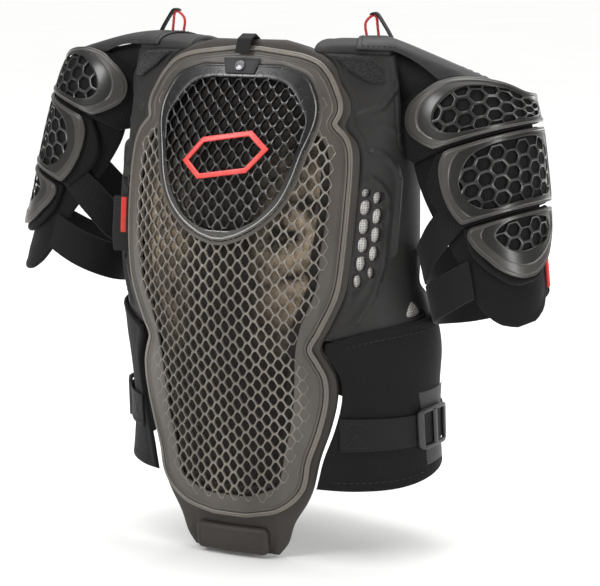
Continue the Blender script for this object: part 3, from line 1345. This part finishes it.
def side_panel(side, hand):
    # its inner edge lies under the back shell's rounded edge, and its top under the bridge
    x, z = body_grid(PANEL_TOP, PANEL_BOTTOM, lambda z: shell_half(z) - 3, panel_front, 2.6, 46)
    window = np.array(VENT_EDGE + [(131, -252), (133, -200), (136, -141)], float)

    inner_field = np.array(RIB_OUTER + [(120, -213), (120, -106)], float)

    def bumps(points, d):
        outer = 3.0 * ridge(points, RIB_OUTER, 8) + 1.4 * inside(points, inner_field)
        inner = 3.0 * ridge(points, RIB_INNER, 8)
        crescent = 2.4 * ridge(points, CRESCENT, 8) + 1.0 * ridge(points, FOLD, 6)
        recess = -2.0 * inside(points, window) * eased(distance_to(points, window), 0, 3)
        line = -0.6 * eased(-np.abs(d - 7), -1.5, 0)
        return (outer + inner + crescent + recess) * eased(d, 0, 4) + line

    place = on_side(side)
    foam = panel(x, z, 3, 6, place, edge=4, low=0.4, bumps=bumps)
    made = piece(f"side_foam_{hand}", [foam], SIDE_FOAM, "foam", f"side_panel_{hand}",
                 f"rib_outer_{hand}", f"rib_inner_{hand}")
    holes = [rounded_hole(*h) for h in VENT_HOLES] + [curved(LOW_HOLE, 2.5)]
    cut_holes(made, [plug(h, -2, 16, place) for h in holes])
    smoothed(made, 50)
    lips = []
    profile = [(0.5, -1.4), (0.35, -0.2), (-0.4, 0.25), (-1.2, -0.1), (-1.2, -1.4)]
    for h in holes:
        # the vent's field is sunk, and the low hole's is not
        level = 7.6 if h[:, 1].mean() > -255 else 9.0
        lips.append(ring(profiled(clockwise(h), profile, level), place))
    piece(f"vent_lips_{hand}", lips, SIDE_FOAM, "foam", smooth_to=60)


def vent_cloths(side, hand):
    """Pale mesh behind the vent's holes, and a small piece behind the low hole."""
    place = on_side(side)
    top, bottom = -0.27 * BODY_HEIGHT + 14, -0.45 * BODY_HEIGHT - 8
    x, z = body_grid(top, bottom, lambda z: shell_half(z) + 2, lambda z: shell_half(z) + 49, 5, 14)
    mesh = piece(f"vent_cloth_{hand}", [panel(x, z, 0.6, 1.5, place, edge=1.2, low=0.3)],
                 PALE_MESH, "mesh", f"vent_mesh_{hand}")
    cloth(grid_edge(x, z))
    x, z = body_grid(-258, -284, lambda z: 0 * z + 180, lambda z: 0 * z + 218, 5, 8)
    low = piece(f"low_vent_cloth_{hand}", [panel(x, z, 0.8, 1.2, place, edge=1.0, low=0.3)],
                PALE_MESH, "mesh")
    cloth(grid_edge(x, z))


def hook_patch(side, hand):
    """Hook tape that the shoulder flap closes on, cut narrower towards its foot."""
    # down from its top, inner and outer edge off the back shell
    rows = [(0, 3, 40), (14, 8, 45), (27, 27, 40)]
    top = PANEL_TOP - 4
    edge = lambda column: lambda z: shell_half(z) + straight(rows, top - z, column)
    x, z = body_grid(top, top - 27, edge(1), edge(2), 2, 18)
    place = on_side(side)
    bumps = lambda points, d: 0.5 * eased(-np.abs(d - 2.0), -1.5, 0)
    pile = panel(x, z, 10.6, 1.7, place, edge=1.0, low=0.3, bumps=bumps)
    patch = piece(f"hook_square_{hand}", [pile], HOOK_TAPE, "fabric", f"hook_patch_{hand}")
    cloth(grid_edge(x, z))
    thread = seam(grid_edge(x, z), 3.2, place, 12.3, 2.4, 3.6, 0.3)
    piece(f"hook_thread_{hand}", [thread], THREAD, "fabric")


for side, hand in SIDES:
    side_panel(side, hand)
    vent_cloths(side, hand)
    hook_patch(side, hand)

# Belt


def belt_start(z):
    """Where the belt begins, just outside the back shell."""
    return shell_half(z) + 1.4


def belt_x(share, z):
    """The arc at a share of the belt's way round to the other side of the back."""
    start = belt_start(z)
    return start + (girth(z) - 2 * start) * share


def hem(points, d):
    """Bound edge: a tape folded over it, with a pressed line where it is sewn."""
    return 0.9 * eased(d, 0.4, 2.0) * eased(-d, -8.5, -7.3) - 0.35 * eased(-np.abs(d - 9), -1.2, 0)


def belt():
    """Neoprene belt round the waist, bound and sewn along both edges."""
    v = spread(np.array(600.0), 170)[None, :] / 600.0
    top, bottom = (smooth(BELT_EDGES, v[0], k) for k in (1, 2))
    down = spread((bottom - top) * BELT_HEIGHT, 26).T
    z = BELT_TOP - top[None] * BELT_HEIGHT - down
    x = belt_x(v, z)

    def bumps(points, d):
        # slack waves where the belt hangs free
        slack = np.sin(points[:, 0] / 21 + points[:, 1] / 60) * eased(d, 12, 40)
        return hem(points, d) + 0.8 * slack

    made = piece("waist_belt", [panel(x, z, BELT_LIFT, 3, round_body, edge=1.6, low=0.4, bumps=bumps)],
                 NEOPRENE, "fabric", "belt")
    middle = BELT_TOP - 78.0
    flat_x = np.repeat(v, z.shape[0], 0) * (float(girth(middle)) - 2 * float(belt_start(middle)))
    cloth(grid_edge(flat_x, z))
    for row, name, inward in ((0, "top", -9.6), (-1, "bottom", 9.6)):
        for first, last, end in ((6, 92, "right"), (92, 170, "left")):
            line = np.column_stack([x[row, first:last], z[row, first:last] + inward])
            thread = stitches(line, round_body, BELT_LIFT + 3.1, 3.2, 5.2, 0.4)
            piece(f"belt_thread_{name}_{end}", [thread], THREAD, "fabric")


def belt_closure():
    """Front closure of the belt: a padded tab with a sewn edge."""
    middle = BELT_TOP - 0.44 * BELT_HEIGHT
    top, bottom = middle + 35, middle - 35
    width = lambda z: rounded_half(z, top, bottom, 55, 9)
    x, z = body_grid(top, bottom, lambda z: -width(z), width, 3, 44)
    padding = panel(x, z, TAB_LIFT, 3, on_chest, edge=2, low=0.4, bumps=hem)
    tab = piece("belt_front_tab", [padding], PADDING, "fabric", "belt_closure")


def side_strap(side, hand):
    """Webbing strap over the belt, from a box stitch at the back to the slide."""
    start, half = float(shell_half(STRAP_MIDDLE)) + 6, STRAP_WIDTH / 2
    place = on_side(side)
    x, z = body_grid(STRAP_MIDDLE + half, STRAP_MIDDLE - half, lambda z: 0 * z + start,
                     lambda z: 0 * z + STRAP_END, 2.5, 60)

    def bumps(points, d):
        # woven edges stand up a little, and the strap rises to pass over the slide's bar
        away = np.abs(points[:, 0] - BUCKLE_ARC)
        return 0.25 * eased(-np.abs(d - 2.5), -1, 0) + 1.2 * eased(-away, -26, -8)

    webbing = panel(x, z, STRAP_LIFT, 1.6, place, edge=0.9, low=0.3, bumps=bumps)
    strap = piece(f"waist_strap_{hand}", [webbing], WEBBING, "fabric", f"side_strap_{hand}")
    cloth(grid_edge(x, z))
    # two crossing rows of stitches between a row above and one below
    along = np.linspace(start + 4, start + 24, 30)
    lines = [np.column_stack([along, STRAP_MIDDLE + np.linspace(first, last, 30)])
             for first, last in ((14, -14), (-14, 14), (14, 14), (-14, -14))]
    thread = [stitches(line, place, STRAP_LIFT + 1.65, 2.4, 3.4, 0.32) for line in lines]
    piece(f"strap_thread_{hand}", thread, THREAD, "fabric")


def buckle_form():
    """Three-bar slide, modelled flat: a rounded frame with one bar across it."""
    bpy.ops.mesh.primitive_plane_add(size=1)
    slide = bpy.context.object
    for v in slide.data.vertices:
        v.co = (v.co.x * 34, v.co.y * 50, 0)
    in_edit(slide)
    bpy.ops.mesh.select_all(action="SELECT")
    bpy.ops.mesh.bevel(offset=7, segments=5, affect="VERTICES")
    bpy.ops.mesh.select_mode(type="FACE")
    bpy.ops.mesh.select_all(action="SELECT")
    bpy.ops.mesh.inset(thickness=5.0)
    bpy.ops.mesh.delete(type="FACE")
    bpy.ops.mesh.select_all(action="SELECT")
    bpy.ops.mesh.extrude_region_move(TRANSFORM_OT_translate={"value": (0, 0, 4)})
    bpy.ops.mesh.select_all(action="SELECT")
    bpy.ops.mesh.normals_make_consistent(inside=False)
    bpy.ops.object.mode_set(mode="OBJECT")
    rounded(slide, 1.1, 3)
    frame_verts, frame_faces = taken(slide)
    bpy.ops.mesh.primitive_cylinder_add(vertices=14, radius=1.7, depth=43, location=(0, 0, 2),
                                        rotation=(math.pi / 2, 0, 0))
    bar = bpy.context.object
    bpy.ops.object.transform_apply(location=True, rotation=True, scale=True)
    in_edit(bar)
    bpy.ops.mesh.select_all(action="SELECT")
    bpy.ops.transform.resize(value=(1.35, 1, 0.9), center_override=(0, 0, 2))
    bpy.ops.object.mode_set(mode="OBJECT")
    return (frame_verts, frame_faces), taken(bar)


def buckle(side, hand, form):
    parts = []
    for verts, faces in form:
        x, z, lift = verts.T
        points = on_body(side * (BUCKLE_ARC + x), STRAP_MIDDLE + z, SLIDE_LIFT + lift)
        parts.append((points, faces, verts[:, :2]))
    piece(f"strap_slide_{hand}", parts, ACETAL, "rubber", f"buckle_{hand}", smooth_to=40)


def belt_gusset(side, hand):
    """Grey mesh let into the belt behind the slide."""
    place = on_side(side)
    x, z = body_grid(-356, -444, lambda z: 180 + (z + 356) * -0.06, lambda z: 219 + 0 * z, 3, 16)
    mesh = piece(f"belt_gusset_{hand}", [panel(x, z, 14.0, 0.9, place, edge=0.8, low=0.3)],
                 GREY_MESH, "mesh")
    cloth(grid_edge(x, z))


belt()
belt_closure()
BUCKLE_FORM = buckle_form()
for side, hand in SIDES:
    side_strap(side, hand)
    buckle(side, hand, BUCKLE_FORM)
    belt_gusset(side, hand)

# Chest


def chest_loop(inward):
    """The chest shell's outline moved inward, with matched points at every distance."""
    across = np.linspace(-1, 1, 161)
    top = CHEST_TOP - (smooth(CHEST_EDGES, np.abs(across), 1) * CHEST_LENGTH + inward)
    bottom = CHEST_TOP - (smooth(CHEST_EDGES, np.abs(across), 2) * CHEST_LENGTH - inward)
    x = across * (CHEST_HALF - inward)
    return np.vstack([np.column_stack([x, top]), np.column_stack([x, bottom])[::-1]])


def chest():
    """Foam shell over the chest with a pierced plate on it."""
    v = (spread(np.array(300.0), 70) / 150.0 - 1)[None, :]
    top = straight(CHEST_EDGES, np.abs(v[0]), 1) * CHEST_LENGTH
    bottom = straight(CHEST_EDGES, np.abs(v[0]), 2) * CHEST_LENGTH
    down = spread(bottom - top, 50).T
    z = CHEST_TOP - top[None] - down
    x = np.repeat(v * CHEST_HALF, z.shape[0], 0)
    opening = even_steps(chest_loop(CHEST_MARGIN + 22), 5)

    def bumps(points, d):
        # sunk behind the net, with a pressed line inside the edge
        sunk = inside(points, opening) * eased(distance_to(points, opening), 0, 6)
        return -3.5 * sunk - 0.6 * eased(-np.abs(d - 8), -1.6, 0)

    shell = piece("front_foam", [panel(x, z, 0, 9, on_chest, edge=6, low=0.4, bumps=bumps)],
                  SHELL_FOAM, "foam", "front_shell")

    outer, inner = matched_pair(chest_loop(CHEST_MARGIN), chest_loop(CHEST_MARGIN + 17))
    frame_part = border(outer, inner, PLATE_BASE, PLATE_FACE, on_chest)
    room = shifted(outer, 7.0)
    net = copied_net(BACK_CELL, ACROSS, PITCH, lambda centres: whole_cells(centres, BACK_CORNERS, room),
                     ((-130, 130), (-300, -40)), on_chest, PLATE_BASE + 0.2, PLATE_FACE - 0.05)
    piece("chest_border", [frame_part], SMOKED, "smoked", "chest_plate", smooth_to=38)
    piece("chest_net", [net], SMOKED_BARS, "smoked", smooth_to=38)


def matched_pair(outer, inner):
    """Two matched outlines, evenly stepped together and rounded at their corners."""
    both = even_steps(np.hstack([outer, inner]), 4.8)
    for _ in range(3):
        both = (np.roll(both, 1, 0) + 2 * both + np.roll(both, -1, 0)) / 4
    if turned_area(both[:, :2]) > 0:
        both = both[::-1]
    return both[:, :2], both[:, 2:]


chest()

# Shoulders

BRIDGE_BACK, BRIDGE_FRONT, BRIDGE_SPRING, BRIDGE_THICK = (87, 150), (78, 107), 16, 6


def bridge_place(side, u, v):
    """The underside of a shoulder bridge in metres: u runs from the back to the chest, v outwards."""
    u, v = floats(u, v)
    back_x = side * (BRIDGE_BACK[0] + (BRIDGE_BACK[1] - BRIDGE_BACK[0]) * v)
    front_x = side * (BRIDGE_FRONT[0] + (BRIDGE_FRONT[1] - BRIDGE_FRONT[0]) * v)
    back_z, front_z = PANEL_TOP + 0.7, CHEST_TOP + 0.7
    back, front = on_body(back_x, back_z, 3), on_chest(front_x, front_z, 3)
    # a curve that leaves both shells upwards, and pulls twice as far up at the chest
    rise = on_body(back_x, back_z + 5, 3) - back
    back_pull = back + rise / np.linalg.norm(rise, axis=-1, keepdims=True) * BRIDGE_SPRING * MM
    rise = on_chest(front_x, front_z + 5, 3) - front
    rise /= np.linalg.norm(rise, axis=-1, keepdims=True)
    front_pull = front + rise * BRIDGE_SPRING * 2 * MM
    t = u[..., None]
    return ((1 - t) ** 3 * back + 3 * (1 - t) ** 2 * t * back_pull
            + 3 * (1 - t) * t**2 * front_pull + t**3 * front)


def lifted(surface, u, v, lift):
    """A place off a surface along the normal that turns from u to v."""
    nudge = 0.01
    along = surface(u + nudge, v) - surface(u - nudge, v)
    across = surface(u, v + nudge) - surface(u, v - nudge)
    out = np.cross(along, across)
    out /= np.linalg.norm(out, axis=-1, keepdims=True)
    return surface(u, v) + out * (np.asarray(lift, float) * MM)[..., None]


def over_shoulder(side):
    """Places above a shoulder bridge's underside."""
    surface = lambda u, v: bridge_place(side, u, v)
    return lambda u, v, lift: lifted(surface, u, v, -side * (lift + 0 * u))


def cap_top(turn):
    """How far down the arm the top edge of the cap's cushion lies."""
    left = smooth(CAP_DROP, turn)
    return -CAP_FOOT * (1 - left) + CAP_CUSHION[0][0] * ARM_LENGTH * left + ARM_SLANT * turn - 0.7


FLAP_ON_BRIDGE = 0.3  # share of the flap's length that lies on the bridge


def flap_place(side, u, w, lift):
    """u runs from the bridge out to the arm, w across the flap."""
    u, w, lift = floats(u, w, lift)
    along = 0.38 + (w - 0.5) * 0.72
    clear = BRIDGE_THICK + 0.8
    near = over_shoulder(side)(along, 0.45 + 0.55 * np.minimum(u / FLAP_ON_BRIDGE, 1), clear + lift)
    edge = over_shoulder(side)(along, np.ones_like(u), clear + lift)
    share = np.clip((u - FLAP_ON_BRIDGE) / (1 - FLAP_ON_BRIDGE), 0, 1)
    turn = 28 + (0.5 - w) * 52
    end = at_arm(side, turn, cap_top(turn) + 4, 9.5 + lift)
    far = edge + (end - edge) * share[..., None]
    # it arches 4 mm between the bridge and the arm
    far[..., 2] += 4 * 4 * share * (1 - share) * MM
    return np.where((u < FLAP_ON_BRIDGE)[..., None], near, far)


def shoulder_bridge(side, hand):
    """Foam bridge over the shoulder, from the back shell to the chest shell."""
    long, wide = 120.0, 50.0
    u, v = share_grid(long, 40, wide, 14)

    def place(x, z, lift):
        # it runs on a little at both ends and towards the neck, to lie against its neighbours
        return over_shoulder(side)(-1.06 * z / long - 0.03, 1.25 * x / wide - 0.25, lift)

    bumps = lambda points, d: 0.9 * eased(d, 6, 14) - 0.5 * eased(-np.abs(d - 5), -1.4, 0)
    foam = panel(v * wide, -u * long, 0, 5.6, place, edge=3, low=0.4, bumps=bumps)
    bridge = piece(f"shoulder_foam_{hand}", [foam], SIDE_FOAM, "foam", f"shoulder_bridge_{hand}")


def shoulder_flap(side, hand):
    """Rubberised flap from the bridge out over the top of the arm, sewn along its sides."""
    long, wide = 92.0, 74.0
    u, w = share_grid(long, 46, wide, 22)
    place = lambda x, z, lift: flap_place(side, -z / long, x / wide, lift)
    bumps = lambda points, d: -0.35 * eased(-np.abs(d - 4), -1, 0) + 0.3 * eased(d, 5, 9)
    sheet = panel(w * wide, -u * long, 0, 2.2, place, edge=1.2, low=0.3, bumps=bumps)
    flap = piece(f"shoulder_flap_cloth_{hand}", [sheet], RUBBER_CLOTH, "rubber",
                 f"shoulder_flap_{hand}")
    cloth(grid_edge(w * wide, -u * long))
    # the seam runs 4 mm inside three of the flap's edges
    line = np.array([(4, 4 - long), (4, -4), (wide - 4, -4), (wide - 4, 4 - long)])
    thread = stitches(line, place, 2.25, 2.6, 4.0, 0.32)
    piece(f"flap_thread_{hand}", [thread], THREAD, "fabric")


def band_place(side, u, v):
    """Places from the bridge's outer edge down to the cap's cushion: u down, v towards the front."""
    u, v = floats(u, v)
    turn = 104 - 106 * v
    low = at_arm(side, turn, cap_top(turn) + 6, 4.2)
    high = over_shoulder(side)(0.7 * v, 0.98 + 0 * v, BRIDGE_THICK * 0.4)
    return high + (low - high) * u[..., None]


def cap_band(side, hand):
    """Elastic that the arm's cap hangs on."""
    long, wide = 58.0, 78.0
    u, v = share_grid(long, 24, wide, 26)
    surface = lambda u, v: band_place(side, u, v)
    place = lambda x, z, lift: lifted(surface, -z / long, x / wide, side * (lift + 0 * x))
    band = piece(f"cap_elastic_{hand}", [panel(v * wide, -u * long, 0, 1.6, place, edge=0.9, low=0.3)],
                 ELASTIC, "fabric", f"cap_band_{hand}")
    cloth(grid_edge(v * wide, -u * long))


def pull_loop(side, hand):
    """Red cord through the fold of a short black tape, both sewn down on the flap."""
    base = flap_place(side, 0.17, 0.625, 3.0) / MM
    # x outwards and z up from the flap, in mm
    spots = [(-8.0, -3.0), (-10.0, 8), (-8.5, 14), (-3, 19), (0.5, 19.8), (3, 17), (4, 9), (5.5, -3.0)]
    line = curved(spots, 1.0, closed=False)
    path = base + np.column_stack([side * line[:, 0], 0 * line[:, 0], line[:, 1] + 1.0])
    piece(f"pull_cord_{hand}", [tube(path * MM, 1.5, sides=10)], CORD, "red", f"pull_loop_{hand}")
    spots = [(-3.5, 20.5), (0, 22.6), (3.5, 21.5), (9, 14), (15, 5), (20, -3.5)]
    line = curved(spots, 1.0, closed=False)
    grid_x, grid_z = np.meshgrid(spread(np.array(9.0), 6, (0, 0.4)) - 4.5,
                                 -np.arange(len(line), dtype=float), indexing="xy")
    normal = np.gradient(line, axis=0)
    normal = np.column_stack([-normal[:, 1], normal[:, 0]])
    normal /= np.linalg.norm(normal, axis=1, keepdims=True)

    def place(x, z, lift):
        at = np.clip(-z, 0, len(line) - 1).astype(int)
        spot = line[at] + normal[at] * np.broadcast_to(lift, x.shape)[:, None]
        return np.column_stack([base[0] + side * spot[:, 0], base[1] + x, base[2] + 0.2 + spot[:, 1]]) * MM

    tape = piece(f"pull_tape_{hand}", [panel(grid_x, grid_z, 0, 1.5, place, edge=0.8, low=0.3)],
                 WEBBING, "fabric")


for side, hand in SIDES:
    shoulder_bridge(side, hand)
    shoulder_flap(side, hand)
    cap_band(side, hand)
    pull_loop(side, hand)

# Arms


def arm_grid(outline, step, columns):
    """A grid of pattern places from a table of shares down the arm and half widths in degrees."""
    rows = np.asarray(outline, float)
    z = rows_between(-rows[0, 0] * ARM_LENGTH, -rows[-1, 0] * ARM_LENGTH, step)
    half = smooth(rows, -z / ARM_LENGTH) * PER_DEGREE
    x = -half[:, None] + spread(2 * half, columns)
    return x, np.repeat(z[:, None], x.shape[1], 1)


def arm_pattern(side, name):
    return on_cap(side) if name == "cap" else on_arm(side)


def cushion(side, hand, name, outline):
    """Padded cushion with a bound edge, under one of the arm's plates."""
    x, z = arm_grid(outline, 3.0, 44)
    if name == "cap":
        x = np.where(x > 0, x * CAP_PAD_BEHIND, x)

    def bumps(points, d):
        # bound edge, then a quilted field
        return 0.8 * eased(d, 0.3, 1.6) * eased(-d, -5.2, -4.0) + 0.5 * eased(d, 7, 14)

    padding = panel(x, z, SLEEVE_LIFT, 4.6, arm_pattern(side, name), edge=3, low=0.35, bumps=bumps)
    pad = piece(f"{name}_pad_{hand}", [padding], PADDING, "fabric", f"{name}_cushion_{hand}")


# The net's edge on each plate: degrees round the arm, millimetres down it.
CAP_NET = [
    (61, 58), (55, 44), (38, 31), (15, 24), (-10, 20), (-32, 24), (-42, 38), (-32, 52), (-5, 64),
    (20, 71), (44, 74), (57, 69),
]
UPPER_NET = [
    (47, 120), (39, 103), (24, 93), (3, 88), (-22, 84), (-42, 92), (-48, 115), (-42, 138), (-20, 146),
    (5, 151), (27, 156), (41, 149), (48, 133),
]
LOWER_NET = [
    (26, 184), (18, 173), (4, 168), (-14, 166), (-30, 168), (-34, 178), (-26, 190), (-8, 199), (6, 202),
    (18, 197),
]


def facing(outer, opening):
    """The place on an opening's edge that each place of the outline round it faces."""
    middle = opening.mean(0)
    angle = np.arctan2(*(opening - middle).T[::-1])
    reach = np.linalg.norm(opening - middle, axis=1)
    order = np.argsort(angle)
    outward = np.arctan2(*(outer - middle).T[::-1])
    near = np.interp(outward, angle[order], reach[order], period=2 * math.pi)
    return middle + np.column_stack([np.cos(outward), np.sin(outward)]) * near[:, None]


def arm_plate(side, hand, name, outline, net_spots, start):
    """Glossy band with a beaded edge, and the sunk field inside it that holds the net."""
    rows = np.asarray(outline, float)
    half = lambda z: smooth(rows, -z / ARM_LENGTH) * PER_DEGREE
    top, bottom = -rows[0, 0] * ARM_LENGTH, -rows[-1, 0] * ARM_LENGTH
    outer = even_outline(half, top, bottom, 2.4)
    for _ in range(2):
        outer = (np.roll(outer, 1, 0) + 2 * outer + np.roll(outer, -1, 0)) / 4
    spots = [(turn * PER_DEGREE, -down + ARM_SLANT * turn) for turn, down in net_spots]
    inner = facing(outer, curved(spots, 1.5))
    base, face = ARM_PLATE_LIFT, ARM_PLATE_LIFT + 3.4
    # the outer band stands proud, then a step down to the field that holds the net
    band = (outer + (inner - outer) * 0.45, face - 0.1)
    sunk = (outer + (inner - outer) * 0.5, face - 1.3)
    rim = (outer + (inner - outer) * 0.93, face - 1.3)
    bead = [(0, -1.2), (0.4, -0.5), (1.1, -0.25), (2.0, -0.55), (2.6, -0.55), (3.2, -0.2)]
    after_bead = (shifted(outer, 3.6), face)
    loops = [(outer, base), *profiled(outer, bead, face), after_bead, *between(after_bead, band, 8),
             band, sunk, (sunk[0], base)]
    loops += between(loops[-1], (outer, base), 8)
    field = [(sunk[0], base), (sunk[0], sunk[1] - 0.05), *between(sunk, rim, 8), rim,
             (outer + (inner - outer) * 0.97, face - 1.5), (inner, face - 2.3), (inner, base)]
    field += between(field[-1], field[0], 8)
    room = shifted(clockwise(curved(spots, 3.0)), -5.0)
    limit = shifted(outer, 3.6)

    def keep(centres):
        held = np.any([inside(centres + corner * 0.6, room) for corner in ARM_CORNERS], axis=0)
        return held & whole_cells(centres, ARM_CORNERS, limit)

    place = arm_pattern(side, name)
    net = copied_net(ARM_CELL, ARM_ACROSS, PITCH, keep, ((-110, 110), (-230, 0)), place,
                     base + 0.05, face - 1.42, start)
    piece(f"{name}_shell_{hand}", [ring(loops, place)], ARM_PLASTIC, "arm_plate",
          f"{name}_plate_{hand}", smooth_to=40)
    piece(f"{name}_net_{hand}", [ring(field, place), net], ARM_NET, "arm_plate", smooth_to=40)


def arm_sleeve(side, hand):
    """Neoprene sleeve round the outside of the arm, bound at its edge and slightly rippled."""
    x, z = arm_grid(SLEEVE, 4.5, 46)

    def bumps(points, d):
        bound = eased(d, 0.3, 1.6) * eased(-d, -6.2, -5.0)
        ripples = np.sin(points[:, 1] / 9 + points[:, 0] / 26) * eased(d, 8, 24)
        return 0.7 * bound + 0.6 * ripples - 0.3

    made = panel(x, z, 0, 2.8, on_arm(side), edge=1.4, low=0.35, bumps=bumps)
    sleeve = piece(f"arm_sleeve_{hand}", [made], NEOPRENE, "fabric", f"sleeve_{hand}")
    cloth(grid_edge(x, z))


def arm_strap(side, hand, name, route):
    """Wide elastic round the inside of the arm, along a route of (degrees, share down)."""
    first, last = route[0][0], route[-1][0]
    length = (last - first) * PER_DEGREE

    def place(x, z, lift):
        turn = first + (last - first) * (x / length)
        return at_arm(side, turn, smooth(route, turn) * ARM_LENGTH - z, lift)

    x, z = np.meshgrid(spread(np.array(length), 80), 20 - spread(np.array(40.0), 14), indexing="ij")
    bumps = lambda points, d: -0.2 * eased(-np.abs(d - 3), -1, 0) + 0.15 * eased(d, 3.5, 6)
    band = panel(x, z, SLEEVE_LIFT, 2.0, place, edge=1.0, low=0.3, bumps=bumps)
    strap = piece(f"{name}_elastic_{hand}", [band], ELASTIC, "fabric", f"{name}_strap_{hand}")
    cloth(grid_edge(x, z))


def arm_tag(side, hand):
    """Moulded red pull tab with soft corners and a ribbed grip."""
    z, x = np.meshgrid(-spread(np.array(35.0), 30), -spread(np.array(8.1), 8), indexing="ij")
    place = lambda x, z, lift: at_arm(side, -45 + x / PER_DEGREE, 0.75 * ARM_LENGTH - z, lift)
    bumps = lambda points, d: 0.35 * np.sin(points[:, 1] * 1.6) * eased(d, 1.4, 3)
    tab = panel(x, z, 3.8, 4, place, edge=1.6, low=0.45, bumps=bumps)
    piece(f"pull_tab_{hand}", [tab], RED_RUBBER, "red", f"arm_tag_{hand}")


for side, hand in SIDES:
    arm_sleeve(side, hand)
    for name, outline in (("cap", CAP_CUSHION), ("upper", UPPER_CUSHION), ("lower", LOWER_CUSHION)):
        cushion(side, hand, name, outline)
    arm_plate(side, hand, "cap", CAP_PLATE, CAP_NET, (-10, -55))
    arm_plate(side, hand, "upper", UPPER_PLATE, UPPER_NET, (-20, -120))
    arm_plate(side, hand, "lower", LOWER_PLATE, LOWER_NET, (-27, -185))
    arm_strap(side, hand, "upper", UPPER_STRAP)
    arm_strap(side, hand, "lower", LOWER_STRAP)
    arm_tag(side, hand)

# Studio

# the floor lies 2 mm below the armour
FLOOR = min(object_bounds()[0].z, cad_box[0].z) - 0.002
bpy.ops.mesh.primitive_plane_add(size=80, location=(0, 0, FLOOR))
floor = bpy.context.object
floor.name = "studio_floor"
bpy.ops.object.transform_apply(location=True, rotation=False, scale=False)
floor.data.materials.append(pale_floor())

world = bpy.data.worlds.new("studio")
bpy.context.scene.world = world
world.use_nodes = True
world.node_tree.nodes["Background"].inputs["Color"].default_value = linear("ffffff")
world.node_tree.nodes["Background"].inputs["Strength"].default_value = 0.3

# the photo's camera: turned, raised, metres away, metres aimed to the right and up
VIEW_TURN, VIEW_RISE, VIEW_REACH = math.radians(25), math.radians(10.5), 2.2
AIM_RIGHT, AIM_UP = 0.033, -0.272
aim = Vector((AIM_RIGHT * math.cos(VIEW_TURN), AIM_RIGHT * math.sin(VIEW_TURN), AIM_UP))
towards = Vector((math.sin(VIEW_TURN) * math.cos(VIEW_RISE), -math.cos(VIEW_TURN) * math.cos(VIEW_RISE),
                  math.sin(VIEW_RISE)))


def softbox(name, place, size, power):
    """A large soft light that faces the armour."""
    data = bpy.data.lights.new(name, "AREA")
    data.shape, data.size, data.size_y, data.energy = "RECTANGLE", size[0], size[1], power
    light = bpy.data.objects.new(name, data)
    bpy.context.scene.collection.objects.link(light)
    light.location = place
    light.rotation_euler = (Vector((0, 0, -0.2)) - Vector(place)).to_track_quat("-Z", "Y").to_euler()


# place and size in metres, power in watts
softbox("key_softbox", (-1.3, -2.2, 1.5), (1.0, 1.0), 34)
softbox("side_softbox", (2.6, -1.0, 0.5), (0.5, 1.8), 26)
softbox("top_softbox", (0.2, 0.4, 2.2), (1.6, 0.8), 20)
softbox("front_softbox", (0.4, 2.6, 0.8), (1.4, 1.4), 20)

# a broad light from high above keeps the floor white as far as it is seen
high = bpy.data.lights.new("ceiling", "SUN")
high.energy, high.angle = 2.6, math.radians(80)
ceiling = bpy.data.objects.new("ceiling", high)
bpy.context.scene.collection.objects.link(ceiling)
ceiling.rotation_euler = (math.radians(-8), math.radians(-6), 0)

camera_data = bpy.data.cameras.new("photo_camera")
camera_data.lens, camera_data.sensor_width = 120, 36
camera = bpy.data.objects.new("photo_camera", camera_data)
bpy.context.scene.collection.objects.link(camera)
camera.location = aim + towards * VIEW_REACH
camera.rotation_euler = towards.to_track_quat("Z", "Y").to_euler()
bpy.context.scene.camera = camera
bpy.context.scene.view_settings.view_transform = "Standard"
